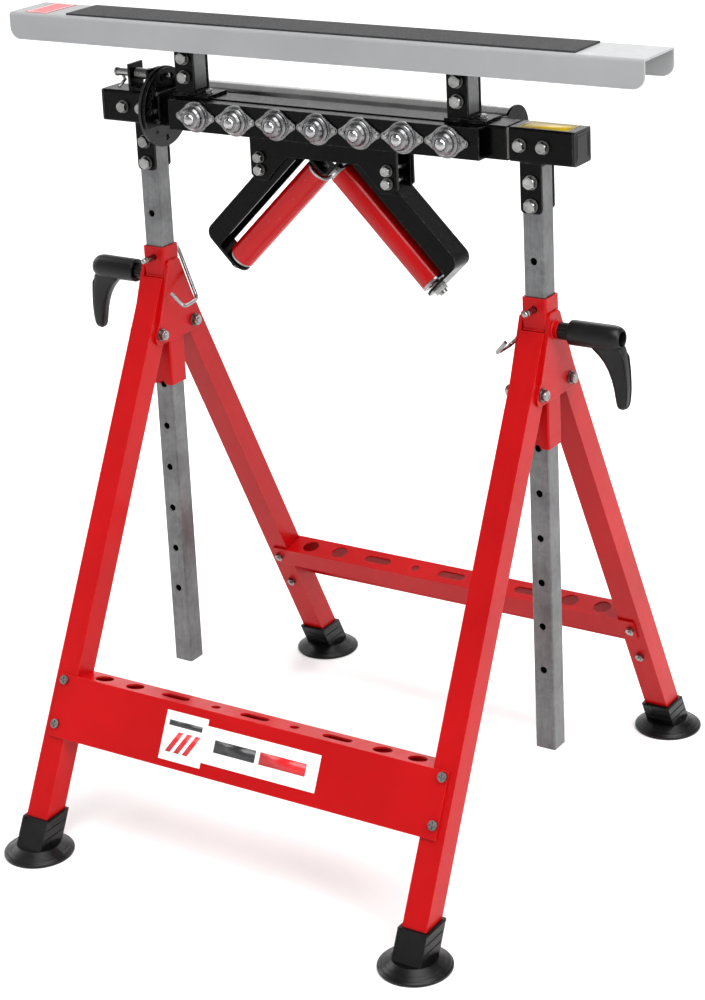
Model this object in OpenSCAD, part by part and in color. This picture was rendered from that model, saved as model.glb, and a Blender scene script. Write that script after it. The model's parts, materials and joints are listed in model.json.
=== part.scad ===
// Four-in-one work-support stand: flat table, ball strip, V rollers and long roller on a turning head.
// Units are millimetres, +Z is up, X runs along the beam and the feet stand on Z = 0.

/* [Trestles] */

// Distance from the middle of the stand to the centre of each column
column_x = 258.5; // [250:0.5:275]
// Side of the square leg tubes
leg_side = 30; // [28:1:32]
// Distance from the middle of the stand to the front face line of a leg at floor level
leg_spread = 335.5; // [325:0.5:350]
// Angle of each leg from upright
leg_angle = 26.7; // [26:0.1:27.2]
// Height at which the legs are cut off against the sleeve
leg_top_z = 626; // [615:1:635]
// Side of the square guide sleeves
sleeve_side = 30; // [29.6:0.1:30.4]
// Lower end of the guide sleeves
sleeve_bottom_z = 489; // [470:1:500]
// Upper end of the guide sleeves
sleeve_top_z = 663; // [660:1:668]
// Thickness of the gusset plates
gusset_t = 3; // [2:0.5:3]
// Diameter of the rubber feet
foot_d = 83; // [76:1:90]

/* [Crossbars] */

// Height of the crossbars' top edge
bar_top_z = 197; // [185:1:205]
// Length of the crossbars
bar_length = 529; // [520:1:534]
// Sheet thickness of the crossbars
bar_t = 2.5; // [2:0.5:3]
// Height of the crossbar web along the leg
bar_web = 74; // [66:1:80]
// Depth of the inner lip along the leg
bar_lip = 30; // [20:1:32]

/* [Columns] */

// Side of the square columns
column_side = 25; // [24:0.5:25]
// Distance between height holes
hole_pitch = 54; // [54:1:54]
// Height of the lock pins
pin_z = 650; // [646:1:650]
// Number of height holes below the lock pin
holes_below = 8; // [6:1:8]
// Diameter of the height holes
hole_d = 8.2; // [8:0.1:9]
// Lower end of the columns
column_bottom_z = 119; // [110:1:130]

/* [Beam] */

// Side of the square beam and end tubes
beam = 38; // [37:0.5:38]
// Height of the turning axis
axis_z = 834; // [834:1:840]
// Half length of the beam between the end tubes
beam_half = 232; // [231:0.5:232]
// Distance from the middle to the inner end of the right end tube
end_in = 235.5; // [235.5:0.5:236]
// Distance from the middle to the outer end of each end tube
end_out = 313; // [308:1:320]
// Wall thickness of the beam and end tubes
beam_t = 2; // [2:0.5:2.5]
// Diameter of the pivot bars
pivot_d = 25; // [22:0.5:26]
// Radius of the index disc
disc_r = 48; // [46:1:50]

/* [Ball strip] */

// Distance between ball units
ball_pitch = 55.75; // [55.25:0.25:57]
// Diameter of the balls
ball_d = 15.9; // [15:0.1:16]
// Depth of the ball channel in front of the beam
channel_depth = 15; // [15:0.5:17]

/* [Table] */

// Length of the table
table_length = 838; // [820:1:850]
// Width of the table
table_width = 72; // [70:1:80]
// Height of the table top
table_z = 941; // [940:1:943]
// Depth of the table's side flanges
table_depth = 32; // [28:1:33]
// Distance from the middle of the stand to the middle of the table
table_shift = -14.5; // [-16:0.5:-12]
// Distance between the two table posts
post_gap = 365; // [355:1:370]

/* [V rollers] */

// Distance from the middle of the stand to the middle of the V
vee_x = -6; // [-10:1:-4]
// Diameter of the V rollers
vee_d = 32; // [30:0.5:33]
// Length of each V roller
vee_length = 167; // [160:1:170]
// Height where the two roller axes cross
vee_z = 793; // [791:1:794]
// Distance from roller axis to the outer face of the arm
vee_offset = 50; // [48:1:50]

/* [Long roller] */

// Diameter of the long roller
roller_d = 50; // [45:1:51]
// Length of the long roller
roller_length = 420; // [390:1:422]
// Distance from the middle of the stand to the middle of the long roller
roller_x = -5; // [-6:0.5:-4]
// Distance from the beam's middle to the long roller's axis
roller_y = 47; // [47:0.5:50]

/* [Display] */

// Which node to draw, or all

/* [Hidden] */

e = 0.02;
tan_leg = tan(leg_angle);
leg_wide = leg_side / cos(leg_angle);
beam_top = axis_z + beam / 2;
beam_bot = axis_z - beam / 2;
leg_line_top = -leg_spread + leg_top_z * tan_leg;
bracket_t = 2.5;
plate_y = column_side / 2 + bracket_t;
bracket_w = 26;
bracket_drop = 57;
bolt_z1 = beam_bot - 22;
bolt_z2 = beam_bot - 48;
channel_y = -beam / 2 - channel_depth;
ball_y = channel_y - 11.5;
plate_x = -beam_half - 3;
disc_x = plate_x - 5;
index_r = 37;
stand_x = -table_shift;
post_c = table_shift + 2.5;
post_bolt_z1 = axis_z + 41;
post_bolt_z2 = axis_z + 63.5;
lever_z = 625;
vee_in = 20;
vee_out = vee_in + vee_length;
vee_flange = vee_out + 4;

// ---- shared shapes ----

// Moves the stand along X so that the whole object is centred on the origin
module stand() {
    translate([stand_x, 0, 0])
        children();
}

// Square tube along Z with rounded corners, open at both ends
module square_tube(side, wall, z0, z1, r = 2) {
    translate([0, 0, z0])
        linear_extrude(z1 - z0)
            difference() {
                rounded_square(side, side, r);
                rounded_square(side - 2 * wall, side - 2 * wall, max(r - wall, 0.5));
            }
}

// Rectangle with true round corners, centred
module rounded_square(w, h, r) {
    union() {
        square([w - 2 * r, h], center = true);
        square([w, h - 2 * r], center = true);
        for (sx = [-1, 1])
            for (sy = [-1, 1])
                translate([sx * (w / 2 - r), sy * (h / 2 - r)])
                    circle(r = r, $fn = 32);
    }
}

// Cylinder along X from x0 to x1
module rod_x(x0, x1, d) {
    translate([x0, 0, 0])
        rotate([0, 90, 0])
            cylinder(d = d, h = x1 - x0, $fn = 48);
}

// Cylinder along Y from y0 to y1
module rod_y(y0, y1, d) {
    translate([0, y0, 0])
        rotate([-90, 0, 0])
            cylinder(d = d, h = y1 - y0, $fn = 48);
}

// Hex bolt along Y through plates from -half to half: head and washer in front, nut behind
module bolt_y(half, d = 8, head = 13) {
    union() {
        rod_y(-half - 1.6, -half, head * 1.28);
        translate([0, -half - 1.6 - 5.2, 0])
            rotate([-90, 0, 0])
                cylinder(d = head / cos(30), h = 5.3, $fn = 6);
        rod_y(-half - 0.1, half + 9, d);
        rod_y(half, half + 1.6, head * 1.28);
        translate([0, half + 1.5, 0])
            rotate([-90, 0, 0])
                cylinder(d = head / cos(30), h = 6.6, $fn = 6);
    }
}

// Hex bolt along X through plates from -half to half
module bolt_x(half, d = 8, head = 13) {
    rotate([0, 0, 90])
        bolt_y(half, d, head);
}

// ---- trestles ----

// Side outline of a front leg in the YZ plane, cut against the sleeve
module leg_outline() {
    z0 = 14;
    y_sleeve = -sleeve_side / 2;
    z_in = (y_sleeve + leg_spread - leg_wide) / tan_leg;
    polygon([[-leg_spread + z0 * tan_leg, z0],
             [-leg_spread + z0 * tan_leg + leg_wide, z0],
             [y_sleeve, z_in],
             [y_sleeve, leg_top_z],
             [leg_line_top, leg_top_z]]);
}

// Hollow of the same leg
module leg_hollow() {
    z0 = 10;
    w = 2 / cos(leg_angle);
    y_end = -sleeve_side / 2 - 2;
    polygon([[-leg_spread + z0 * tan_leg + w, z0],
             [-leg_spread + z0 * tan_leg + leg_wide - w, z0],
             [y_end, (y_end + leg_spread - leg_wide + w) / tan_leg],
             [y_end, (y_end + leg_spread - w) / tan_leg]]);
}

// Extrudes a YZ outline along X, centred on x = 0
module along_x(width) {
    translate([-width / 2, 0, 0])
        rotate([90, 0, 90])
            linear_extrude(width)
                children();
}

module front_leg() {
    difference() {
        along_x(leg_side)
            leg_outline();
        along_x(leg_side - 4)
            leg_hollow();
        leg_holes(8.6);
    }
}

// Holes for the gusset bolt and the two crossbar screws
module leg_holes(d) {
    translate([0, -33.5, 560])
        rod_x(-30, 30, d);
    for (s = [8, 60])
        bar_point(s)
            rod_y(-6, 40, 5.6);
}

// Moves to a point on the leg's front face, s along the web below its top edge; Y is across the leg
module bar_point(s) {
    translate([0, -leg_spread + bar_top_z * tan_leg - s * sin(leg_angle),
               bar_top_z - s * cos(leg_angle)])
        rotate([-leg_angle, 0, 0])
            children();
}

module front_legs() {
    color("red")
        stand()
            for (sx = [-1, 1])
                translate([sx * column_x, 0, 0])
                    front_leg();
}

module rear_legs() {
    color("red")
        stand()
            for (sx = [-1, 1])
                translate([sx * column_x, 0, 0])
                    mirror([0, 1, 0])
                        front_leg();
}

// Rubber foot: tilted square socket on a round flange with a thin lip
module foot() {
    fy = -leg_spread + leg_wide / 2 + 5;
    lean = leg_side / 2 + 3.2;
    difference() {
        union() {
            translate([0, fy, 0])
                rotate_extrude($fn = 96)
                    polygon([[0, 0], [foot_d / 2 - 1, 0], [foot_d / 2, 1.2],
                             [foot_d / 2, 3.4], [foot_d / 2 - 1.6, 4.4], [26, 12.5],
                             [0, 12.5]]);
            intersection() {
                along_x(2 * lean)
                    polygon([[-leg_spread - 3.6, 0], [-leg_spread + leg_wide + 3.6, 0],
                             [-leg_spread + leg_wide + 3.6 + 44 * tan_leg, 44],
                             [-leg_spread - 3.6 + 44 * tan_leg, 44]]);
                translate([-40, -leg_spread - 60, 2])
                    cube([80, 140, 60]);
            }
        }
        along_x(leg_side)
            polygon([[-leg_spread + 14 * tan_leg, 14],
                     [-leg_spread + 14 * tan_leg + leg_wide, 14],
                     [-leg_spread + 60 * tan_leg + leg_wide, 60],
                     [-leg_spread + 60 * tan_leg, 60]]);
    }
}

module feet() {
    color("black")
        stand()
            for (sx = [-1, 1])
                for (sy = [0, 1])
                    translate([sx * column_x, 0, 0])
                        mirror([0, sy, 0])
                            foot();
}

module sleeves() {
    color("red")
        stand()
            for (sx = [-1, 1])
                translate([sx * column_x, 0, 0])
                    difference() {
                        square_tube(sleeve_side, 2, sleeve_bottom_z, sleeve_top_z, 2.5);
                        translate([0, 0, pin_z])
                            rod_y(-20, 20, hole_d);
                        translate([0, 0, lever_z])
                            mirror([sx < 0 ? 1 : 0, 0, 0])
                                rod_x(5, 20, 8.7);
                        translate([0, 0, sleeve_bottom_z])
                            rod_y(-20, 0, 8);
                    }
}

// Gusset plate beside the sleeve, joining it to both legs
module gusset_outline(bore) {
    difference() {
        union() {
            polygon([[-9, 645], [9, 645], [13, 641], [50, 556], [46, 547.5], [-36, 547.5],
                     [-44, 556], [-13, 641]]);
            translate([-36, 556])
                circle(r = 8.5, $fn = 48);
            translate([-8, 640])
                circle(r = 5, $fn = 32);
            translate([8, 640])
                circle(r = 5, $fn = 32);
        }
        translate([-33.5, 560])
            circle(d = 8.6, $fn = 32);
        translate([33.5, 560])
            circle(d = 8.6, $fn = 32);
        if (bore)
            translate([0, lever_z])
                circle(d = 8.7, $fn = 48);
    }
}

module gussets() {
    color("firebrick")
        stand()
            for (cx = [-1, 1])
                for (sx = [-1, 1])
                    translate([cx * column_x + sx * (sleeve_side / 2 + gusset_t / 2), 0, 0])
                        union() {
                            along_x(gusset_t)
                                gusset_outline(cx == sx);
                            translate([sx * (gusset_t / 2 + 0.7), 0, 0])
                                along_x(1.5)
                                    polygon([[-38.2, 572], [-13, 641], [-10.6, 641], [-35.5, 572]]);
                        }
}

module gusset_bolts() {
    color("silver")
        stand()
            for (cx = [-1, 1])
                for (sy = [-1, 1])
                    translate([cx * column_x, sy * 33.5, 560])
                        rotate([0, 0, 90 * cx])
                            bolt_y(sleeve_side / 2 + gusset_t, 8, 12);
}

// Round threaded boss welded on the outer gusset, which the clamp screw turns in
module sleeve_nuts() {
    color("firebrick")
        stand()
            for (sx = [-1, 1])
                translate([sx * column_x, 0, lever_z])
                    mirror([sx < 0 ? 1 : 0, 0, 0])
                        difference() {
                            rod_x(sleeve_side / 2 + gusset_t, sleeve_side / 2 + gusset_t + 6, 20);
                            rod_x(sleeve_side / 2, sleeve_side / 2 + 14, 8.7);
                        }
}

// ---- crossbars ----

// Y of the leg's outer face (inner = 0) or inner face (inner = 1) at height z
function leg_y(z, inner) = -leg_spread + inner * leg_wide + z * tan_leg;

// Cross-section of a crossbar in the YZ plane: web on the leg's face, sloping top, inner lip
module bar_section() {
    wo = bar_t / cos(leg_angle);
    z_web = bar_top_z - bar_web * cos(leg_angle);
    z_in = bar_top_z - 8;
    z_lip = z_in - bar_lip * cos(leg_angle);
    polygon([[leg_y(bar_top_z, 0) - wo, bar_top_z],
             [leg_y(z_web, 0) - wo, z_web],
             [leg_y(z_web, 0), z_web],
             [leg_y(bar_top_z - 2, 0), bar_top_z - 2],
             [leg_y(z_in - 2, 1), z_in - 2],
             [leg_y(z_lip, 1), z_lip],
             [leg_y(z_lip, 1) + wo, z_lip],
             [leg_y(z_in, 1) + wo, z_in]]);
}

// Round and slotted tool holes through the sloping top
module tool_holes() {
    yh = leg_y(bar_top_z - 4, 0) + leg_wide / 2;
    for (x = [-215, -170, 170, 215])
        translate([x, yh, 186])
            cylinder(d = 22, h = 24, $fn = 64);
    for (x = [-54, 54])
        translate([x, yh, 186])
            cylinder(d = 11.5, h = 24, $fn = 48);
    for (x = [-111, 0, 111])
        translate([x, yh, 186])
            linear_extrude(24)
                union() {
                    square([25, 13], center = true);
                    translate([-12.5, 0])
                        circle(d = 13, $fn = 48);
                    translate([12.5, 0])
                        circle(d = 13, $fn = 48);
                }
}

// Space beside and beyond a leg that the crossbar's top is cut away from
module leg_notch() {
    translate([-leg_side / 2 - 0.3, 0, 0])
        rotate([90, 0, 90])
            linear_extrude(leg_side + 20)
                polygon([[leg_y(120, 0), 120], [leg_y(120, 1), 120],
                         [leg_y(210, 1), 210], [leg_y(210, 0), 210]]);
}

module crossbar() {
    difference() {
        along_x(bar_length)
            bar_section();
        tool_holes();
        for (sx = [0, 1])
            mirror([sx, 0, 0])
                translate([column_x, 0, 0])
                    union() {
                        leg_notch();
                        for (s = [8, 60])
                            bar_point(s)
                                rod_y(-8, 45, 5.6);
                    }
    }
}

module front_crossbar() {
    color("crimson")
        stand()
            crossbar();
}

module rear_crossbar() {
    color("crimson")
        stand()
            mirror([0, 1, 0])
                crossbar();
}

// Pan-head screw across the leg, with a nut on the inside
module bar_screw(s) {
    inner = s < 30 ? leg_side + bar_t : leg_side;
    bar_point(s)
        union() {
            difference() {
                rod_y(-bar_t - 3, -bar_t, 11);
                translate([-4, -bar_t - 4, -0.8])
                    cube([8, 2.2, 1.6]);
                translate([-0.8, -bar_t - 4, -4])
                    cube([1.6, 2.2, 8]);
            }
            rod_y(-bar_t - 0.1, inner + 6, 5);
            translate([0, inner, 0])
                rotate([-90, 0, 0])
                    cylinder(d = 11.5, h = 4.5, $fn = 6);
        }
}

module crossbar_screws() {
    color("silver")
        stand()
            for (sx = [-1, 1])
                for (sy = [0, 1])
                    for (s = [8, 60])
                        translate([sx * column_x, 0, 0])
                            mirror([0, sy, 0])
                                bar_screw(s);
}

module front_label() {
    color("white")
        stand()
            translate([0, -leg_spread + bar_top_z * tan_leg, bar_top_z])
                rotate([-leg_angle, 0, 0])
                    union() {
                        translate([-106, -bar_t - 0.6, -67])
                            cube([58, 0.6, 56]);
                        translate([-49, -bar_t - 0.6, -60])
                            cube([155, 0.6, 42]);
                    }
}

// ---- clamp levers ----

screw_x0 = column_x + column_side / 2 + 0.3;
boss_x = column_x + sleeve_side / 2 + gusset_t + 6;

// Stud and fluted insert of a clamp lever, along +X from the column
module clamp_screw() {
    translate([0, 0, lever_z])
        union() {
            rod_x(screw_x0, boss_x + 32, 8);
            difference() {
                rod_x(boss_x + 0.6, boss_x + 13, 19);
                for (a = [0:30:330])
                    rotate([a, 0, 0])
                        translate([0, 10.2, 0])
                            rod_x(boss_x, boss_x + 14, 3);
            }
        }
}

// Side outline of the hand lever in X and Z, hub axis at the origin
module lever_outline() {
    union() {
        translate([344.5, 0])
            circle(r = 14.4, $fn = 96);
        polygon([[334, -9], [322, -12], [325.6, -15.6], [330.6, -20], [336.7, -27], [342.1, -36],
                 [346.1, -46], [348.7, -56], [350.4, -66], [351.7, -74], [353.5, -78.6],
                 [356, -80], [360, -79.4], [362.8, -76], [364.6, -66], [365, -56], [364.2, -36],
                 [361.8, -19], [358.9, -8]]);
    }
}

// Hand lever: round hub over the insert, elbow with an outer recess, and a curved flat arm
module clamp_handle() {
    difference() {
        translate([0, 0, lever_z])
            union() {
                rod_x(boss_x + 13.6, 344.5, 28.8);
                rotate([90, 0, 0])
                    linear_extrude(17, center = true)
                        lever_outline();
                translate([344.5, 0, 0])
                    sphere(r = 14.4, $fn = 96);
            }
        translate([0, 0, lever_z])
            union() {
                rod_x(boss_x + 8, boss_x + 34, 9);
                rod_x(boss_x + 34, 370, 17);
            }
    }
}

module clamp_screw_left() {
    color("silver")
        stand()
            mirror([1, 0, 0])
                clamp_screw();
}

module clamp_screw_right() {
    color("silver")
        stand()
            clamp_screw();
}

module clamp_handle_left() {
    color("dimgray")
        stand()
            mirror([1, 0, 0])
                clamp_handle();
}

module clamp_handle_right() {
    color("dimgray")
        stand()
            clamp_handle();
}

// ---- lock pins ----

// Straight round wire from point a to point b
module wire(a, b, d) {
    v = b - a;
    translate(a)
        rotate([0, acos(v[2] / norm(v)), atan2(v[1], v[0])])
            cylinder(d = d, h = norm(v), $fn = 48);
}

// Ball that rounds off a bend in a wire
module bend(a, d) {
    translate(a)
        sphere(d = d, $fn = 48);
}

// Pin through sleeve and column with its bent wire bail on the inner side
module lock_pin() {
    p0 = [column_x, 34, pin_z];
    p1 = [column_x - 43.5, 9, pin_z - 53.5];
    p2 = [column_x - 45.5, -21.5, pin_z - 55];
    p3 = [column_x - 30.5, -25.5, pin_z - 38.5];
    union() {
        translate([column_x, 0, pin_z])
            rod_y(-35.5, 34, 7.2);
        translate([column_x, -37, pin_z])
            rotate([-90, 0, 0])
                cylinder(d1 = 4.6, d2 = 7.2, h = 1.6, $fn = 48);
        bend(p0, 7.4);
        wire(p0, p1, 4.6);
        bend(p1, 4.8);
        wire(p1, p2, 4.6);
        bend(p2, 4.8);
        wire(p2, p3, 4.6);
    }
}

module lock_pin_left() {
    color("silver")
        stand()
            mirror([1, 0, 0])
                lock_pin();
}

module lock_pin_right() {
    color("silver")
        stand()
            lock_pin();
}

// ---- height carriage ----

module columns() {
    color("lightgray")
        stand()
            for (sx = [-1, 1])
                translate([sx * column_x, 0, 0])
                    difference() {
                        square_tube(column_side, 1.5, column_bottom_z, beam_bot - 4, 2);
                        for (i = [-holes_below:1])
                            translate([0, 0, pin_z + i * hole_pitch])
                                rod_y(-20, 20, hole_d);
                        for (z = [bolt_z1, bolt_z2])
                            translate([0, 0, z])
                                rod_y(-20, 20, 8.4);
                    }
}

// U bracket over a square tube: web at z = 0, plates hanging down
module u_bracket(drop, bolts, d_in) {
    difference() {
        union() {
            translate([-bracket_w / 2, -d_in / 2 - bracket_t, -bracket_t])
                cube([bracket_w, d_in + 2 * bracket_t, bracket_t]);
            for (sy = [-1, 1])
                translate([0, sy * (d_in / 2 + bracket_t / 2), 0])
                    rotate([90, 0, 0])
                        linear_extrude(bracket_t, center = true)
                            union() {
                                translate([-bracket_w / 2, -drop + 5])
                                    square([bracket_w, drop - 5]);
                                translate([-bracket_w / 2 + 5, -drop])
                                    square([bracket_w - 10, 6]);
                                for (sx = [-1, 1])
                                    translate([sx * (bracket_w / 2 - 5), -drop + 5])
                                        circle(r = 5, $fn = 32);
                            }
        }
        for (z = bolts)
            translate([0, 0, z])
                rod_y(-40, 40, 8.4);
    }
}

module column_brackets() {
    color("black")
        stand()
            for (sx = [-1, 1])
                translate([sx * column_x, 0, beam_bot])
                    u_bracket(bracket_drop, [-22, -48], column_side);
}

module column_bolts() {
    color("silver")
        stand()
            for (sx = [-1, 1])
                for (z = [bolt_z1, bolt_z2])
                    translate([sx * column_x, 0, z])
                        bolt_y(plate_y);
}

// Square end tube along X from x0 to x1
module end_tube(x0, x1, bolts) {
    difference() {
        translate([(x0 + x1) / 2, 0, axis_z])
            rotate([0, 90, 0])
                translate([0, 0, -(x1 - x0) / 2])
                    linear_extrude(x1 - x0)
                        difference() {
                            rounded_square(beam, beam, 3);
                            rounded_square(beam - 2 * beam_t, beam - 2 * beam_t, 1.2);
                        }
        for (x = bolts)
            translate([x, 0, axis_z])
                rod_y(-30, 30, 8.4);
    }
}

left_bolts = [-284, -257];
right_bolts = [248.5, 276.5];

module end_tube_left() {
    color("black")
        stand()
            end_tube(-end_out, disc_x - 4, left_bolts);
}

module end_tube_right() {
    color("black")
        stand()
            end_tube(end_in, end_out - 1.5, right_bolts);
}

module end_caps() {
    color("dimgray")
        stand()
            for (sx = [-1, 1])
                mirror([sx < 0 ? 1 : 0, 0, 0])
                    translate([sx < 0 ? end_out : end_out - 1.5, 0, axis_z])
                        rotate([0, 90, 0])
                            union() {
                                linear_extrude(2.5)
                                    rounded_square(beam, beam, 3);
                                translate([0, 0, -14])
                                    linear_extrude(14.2)
                                        difference() {
                                            rounded_square(beam - 2 * beam_t - 0.02,
                                                           beam - 2 * beam_t - 0.02, 1.2);
                                            rounded_square(beam - 2 * beam_t - 5,
                                                           beam - 2 * beam_t - 5, 1);
                                        }
                            }
}

module end_tube_bolts() {
    color("silver")
        stand()
            for (x = concat(left_bolts, right_bolts))
                translate([x, 0, axis_z])
                    bolt_y(beam / 2, 8, 12);
}

// Solid pivot bars bolted in the end tubes, running in the head's bushes
module pivot_bars() {
    color("silver")
        stand()
            union() {
                pivot_bar(-end_out + 22, -beam_half + 30, left_bolts);
                pivot_bar(beam_half - 30, end_out - 23, right_bolts);
            }
}

module pivot_bar(x0, x1, bolts) {
    translate([0, 0, axis_z])
        difference() {
            rod_x(x0, x1, pivot_d);
            for (x = bolts)
                translate([x, 0, 0])
                    rod_y(-30, 30, 8.4);
        }
}

plunger_x = -279;

// Upright plates on the left end tube that carry and guide the plunger
module plunger_bracket() {
    color("black")
        stand()
            difference() {
                union() {
                    translate([plunger_x, -13, beam_top])
                        cube([3, 26, 31]);
                    translate([plunger_x, -13, beam_top])
                        cube([30, 26, 3]);
                    translate([plunger_x + 27, -13, beam_top])
                        cube([3, 26, 26]);
                }
                translate([0, 0, axis_z + index_r])
                    rod_x(plunger_x - 1, plunger_x + 4, 9.6);
                translate([0, 0, axis_z + index_r])
                    rod_x(plunger_x + 26, plunger_x + 31, 7);
            }
}

module plunger() {
    color("silver")
        stand()
            translate([0, 0, axis_z + index_r])
                union() {
                    rod_x(-304, -256, 9);
                    rod_x(-257, -254, 15);
                    rod_x(-255, -229, 6.4);
                    translate([-229, 0, 0])
                        rotate([0, 90, 0])
                            cylinder(d1 = 6.4, d2 = 4, h = 1.2, $fn = 48);
                    rod_x(-305.5, -303, 10.5);
                    wire([-299, 0, 0], [-291, -3, -8], 3.6);
                    bend([-291, -3, -8], 3.8);
                    wire([-291, -3, -8], [-294, -12, -15.5], 3.6);
                }
}

// Coil spring as a hollow sleeve between bracket and collar
module plunger_spring() {
    color("gray")
        stand()
            translate([0, 0, axis_z + index_r])
                difference() {
                    rod_x(plunger_x + 3.2, -257.2, 13.4);
                    rod_x(plunger_x + 2, -256, 9.8);
                }
}

// ---- head ----

module main_tube() {
    color("black")
        stand()
            difference() {
                translate([-beam_half, 0, axis_z])
                    rotate([0, 90, 0])
                        linear_extrude(2 * beam_half)
                            difference() {
                                rounded_square(beam, beam, 3);
                                rounded_square(beam - 2 * beam_t, beam - 2 * beam_t, 1.2);
                            }
                for (sx = [-1, 1])
                    translate([vee_x + sx * 60, 0, beam_bot - 1])
                        cylinder(d = 6.4, h = 5, $fn = 32);
            }
}

module pivot_bushes() {
    color("ivory")
        stand()
            for (sx = [-1, 1])
                mirror([sx < 0 ? 1 : 0, 0, 0])
                    translate([beam_half - 26, 0, axis_z])
                        rotate([0, 90, 0])
                            difference() {
                                linear_extrude(26)
                                    rounded_square(beam - 2 * beam_t - 0.02,
                                                   beam - 2 * beam_t - 0.02, 1.2);
                                translate([0, 0, -1])
                                    cylinder(d = pivot_d + 0.12, h = 30, $fn = 96);
                            }
}

screw_points = [[22.6, 19.5], [-22.6, 19.5], [27.5, 0], [-27.5, 0], [24, -13], [-24, -13]];

// Index holes over the upper half and the pivot and screw holes, from x0 to x1
module disc_holes(x0, x1) {
    rod_x(x0, x1, pivot_d + 0.6);
    for (a = [0:15:180])
        rotate([a, 0, 0])
            translate([0, index_r, 0])
                rod_x(x0, x1, 7);
    for (p = screw_points)
        translate([0, p[0], p[1]])
            rod_x(x0, x1, 4.4);
}

// Plate welded across the left end of the beam, flat along its lower edge
module end_plate() {
    color("black")
        stand()
            translate([plate_x, 0, axis_z])
                difference() {
                    intersection() {
                        rod_x(0, 3, 2 * disc_r - 3);
                        translate([-1, -60, -beam / 2])
                            cube([5, 120, 120]);
                    }
                    disc_holes(-1, 4);
                }
}

// Turning index disc with holes for the plunger
module index_disc() {
    color("dimgray")
        stand()
            translate([disc_x, 0, axis_z])
                difference() {
                    rod_x(0, 3, 2 * disc_r);
                    disc_holes(-1, 4);
                    translate([0, 0, -index_r])
                        rod_x(-1, 4, 8);
                    translate([0, -18, -27])
                        rod_x(-1, 4, 5.5);
                }
}

// Cap screws that hold the disc to the end plate, each with a spacer nut between them
module disc_screws() {
    color("silver")
        stand()
            for (p = screw_points)
                translate([plate_x, p[0], axis_z + p[1]])
                    difference() {
                        union() {
                            rod_x(-5, 5.2, 4);
                            translate([-2, 0, 0])
                                rotate([0, 90, 0])
                                    cylinder(d = 7.5, h = 2, $fn = 6);
                            rod_x(3, 5.8, 6);
                        }
                        translate([4.4, 0, 0])
                            rotate([0, 90, 0])
                                cylinder(d = 2.8, h = 3, $fn = 6);
                    }
}

// ---- ball strip ----

ball_xs = [for (i = [-3:3]) i * ball_pitch];
channel_h = 35.5;
channel_x0 = -206.5;

module ball_channel() {
    color("black")
        stand()
            difference() {
                translate([channel_x0, channel_y, axis_z - channel_h / 2])
                    difference() {
                        cube([413, channel_depth, channel_h]);
                        translate([-1, 2.5, 2.5])
                            cube([415, channel_depth, channel_h - 5]);
                    }
                for (x = ball_xs)
                    translate([x, 0, axis_z])
                        union() {
                            rod_y(channel_y - 1, channel_y + 5, 25.4);
                            for (sx = [-1, 1])
                                translate([sx * 22, 0, 0])
                                    rod_y(channel_y - 1, channel_y + 5, 4.2);
                        }
            }
}

// Rhombic flange outline with rounded points
module flange_outline() {
    union() {
        polygon([[-24.9, 3.4], [-5, 17.6], [5, 17.6], [24.9, 3.4],
                 [24.9, -3.4], [5, -17.6], [-5, -17.6], [-24.9, -3.4]]);
        for (sx = [-1, 1])
            translate([sx * 22.8, 0])
                circle(r = 4.5, $fn = 40);
        circle(r = 18.2, $fn = 72);
    }
}

// Pressed steel cup of a ball unit with its stepped cover
module ball_cups() {
    color("silver")
        stand()
            for (x = ball_xs)
                translate([x, channel_y, axis_z])
                    rotate([90, 0, 0])
                        difference() {
                            union() {
                                linear_extrude(2.2)
                                    flange_outline();
                                translate([0, 0, -8])
                                    rotate_extrude($fn = 96)
                                        polygon([[0, 0], [11.2, 0], [12.2, 1.2], [12.4, 8],
                                                 [16, 8], [16, 13.4], [15, 14.4], [12.9, 15],
                                                 [12.9, 18.4], [11.4, 21.2], [8.6, 23.2],
                                                 [0, 23.2]]);
                            }
                            translate([0, 0, 11.5])
                                sphere(d = ball_d + 0.6, $fn = 96);
                            translate([0, 0, 11.5])
                                cylinder(d = 13.8, h = 20, $fn = 96);
                            for (sx = [-1, 1])
                                translate([sx * 22, 0, -1])
                                    cylinder(d = 4.2, h = 6, $fn = 32);
                        }
}

module ball_screws() {
    color("silver")
        stand()
            for (x = ball_xs)
                for (sx = [-1, 1])
                    translate([x + sx * 22, channel_y, axis_z])
                        rotate([90, 0, 0])
                            union() {
                                translate([0, 0, -5])
                                    cylinder(d = 4, h = 8, $fn = 32);
                                translate([0, 0, 2.2])
                                    rotate_extrude($fn = 48)
                                        polygon([[0, 0], [3.7, 0], [3.4, 1.0], [2.2, 1.9],
                                                 [0, 2.2]]);
                            }
}

module ball(i) {
    color("gainsboro")
        stand()
            translate([(i - 4) * ball_pitch, ball_y, axis_z])
                sphere(d = ball_d, $fn = 96);
}

module ball_1() ball(1);
module ball_2() ball(2);
module ball_3() ball(3);
module ball_4() ball(4);
module ball_5() ball(5);
module ball_6() ball(6);
module ball_7() ball(7);

// ---- table ----

post_xs = [post_c - post_gap / 2, post_c + post_gap / 2];

// Upright U bracket on a small weld plate, holding a table post
module post_brackets() {
    color("black")
        stand()
            for (x = post_xs)
                translate([x, 0, beam_top])
                    union() {
                        translate([-16, -17, 0])
                            cube([52, 34, 3]);
                        translate([0, 0, 3])
                            mirror([0, 0, 1])
                                u_bracket(53, [-(post_bolt_z1 - beam_top - 3),
                                               -(post_bolt_z2 - beam_top - 3)], column_side);
                    }
}

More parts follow.
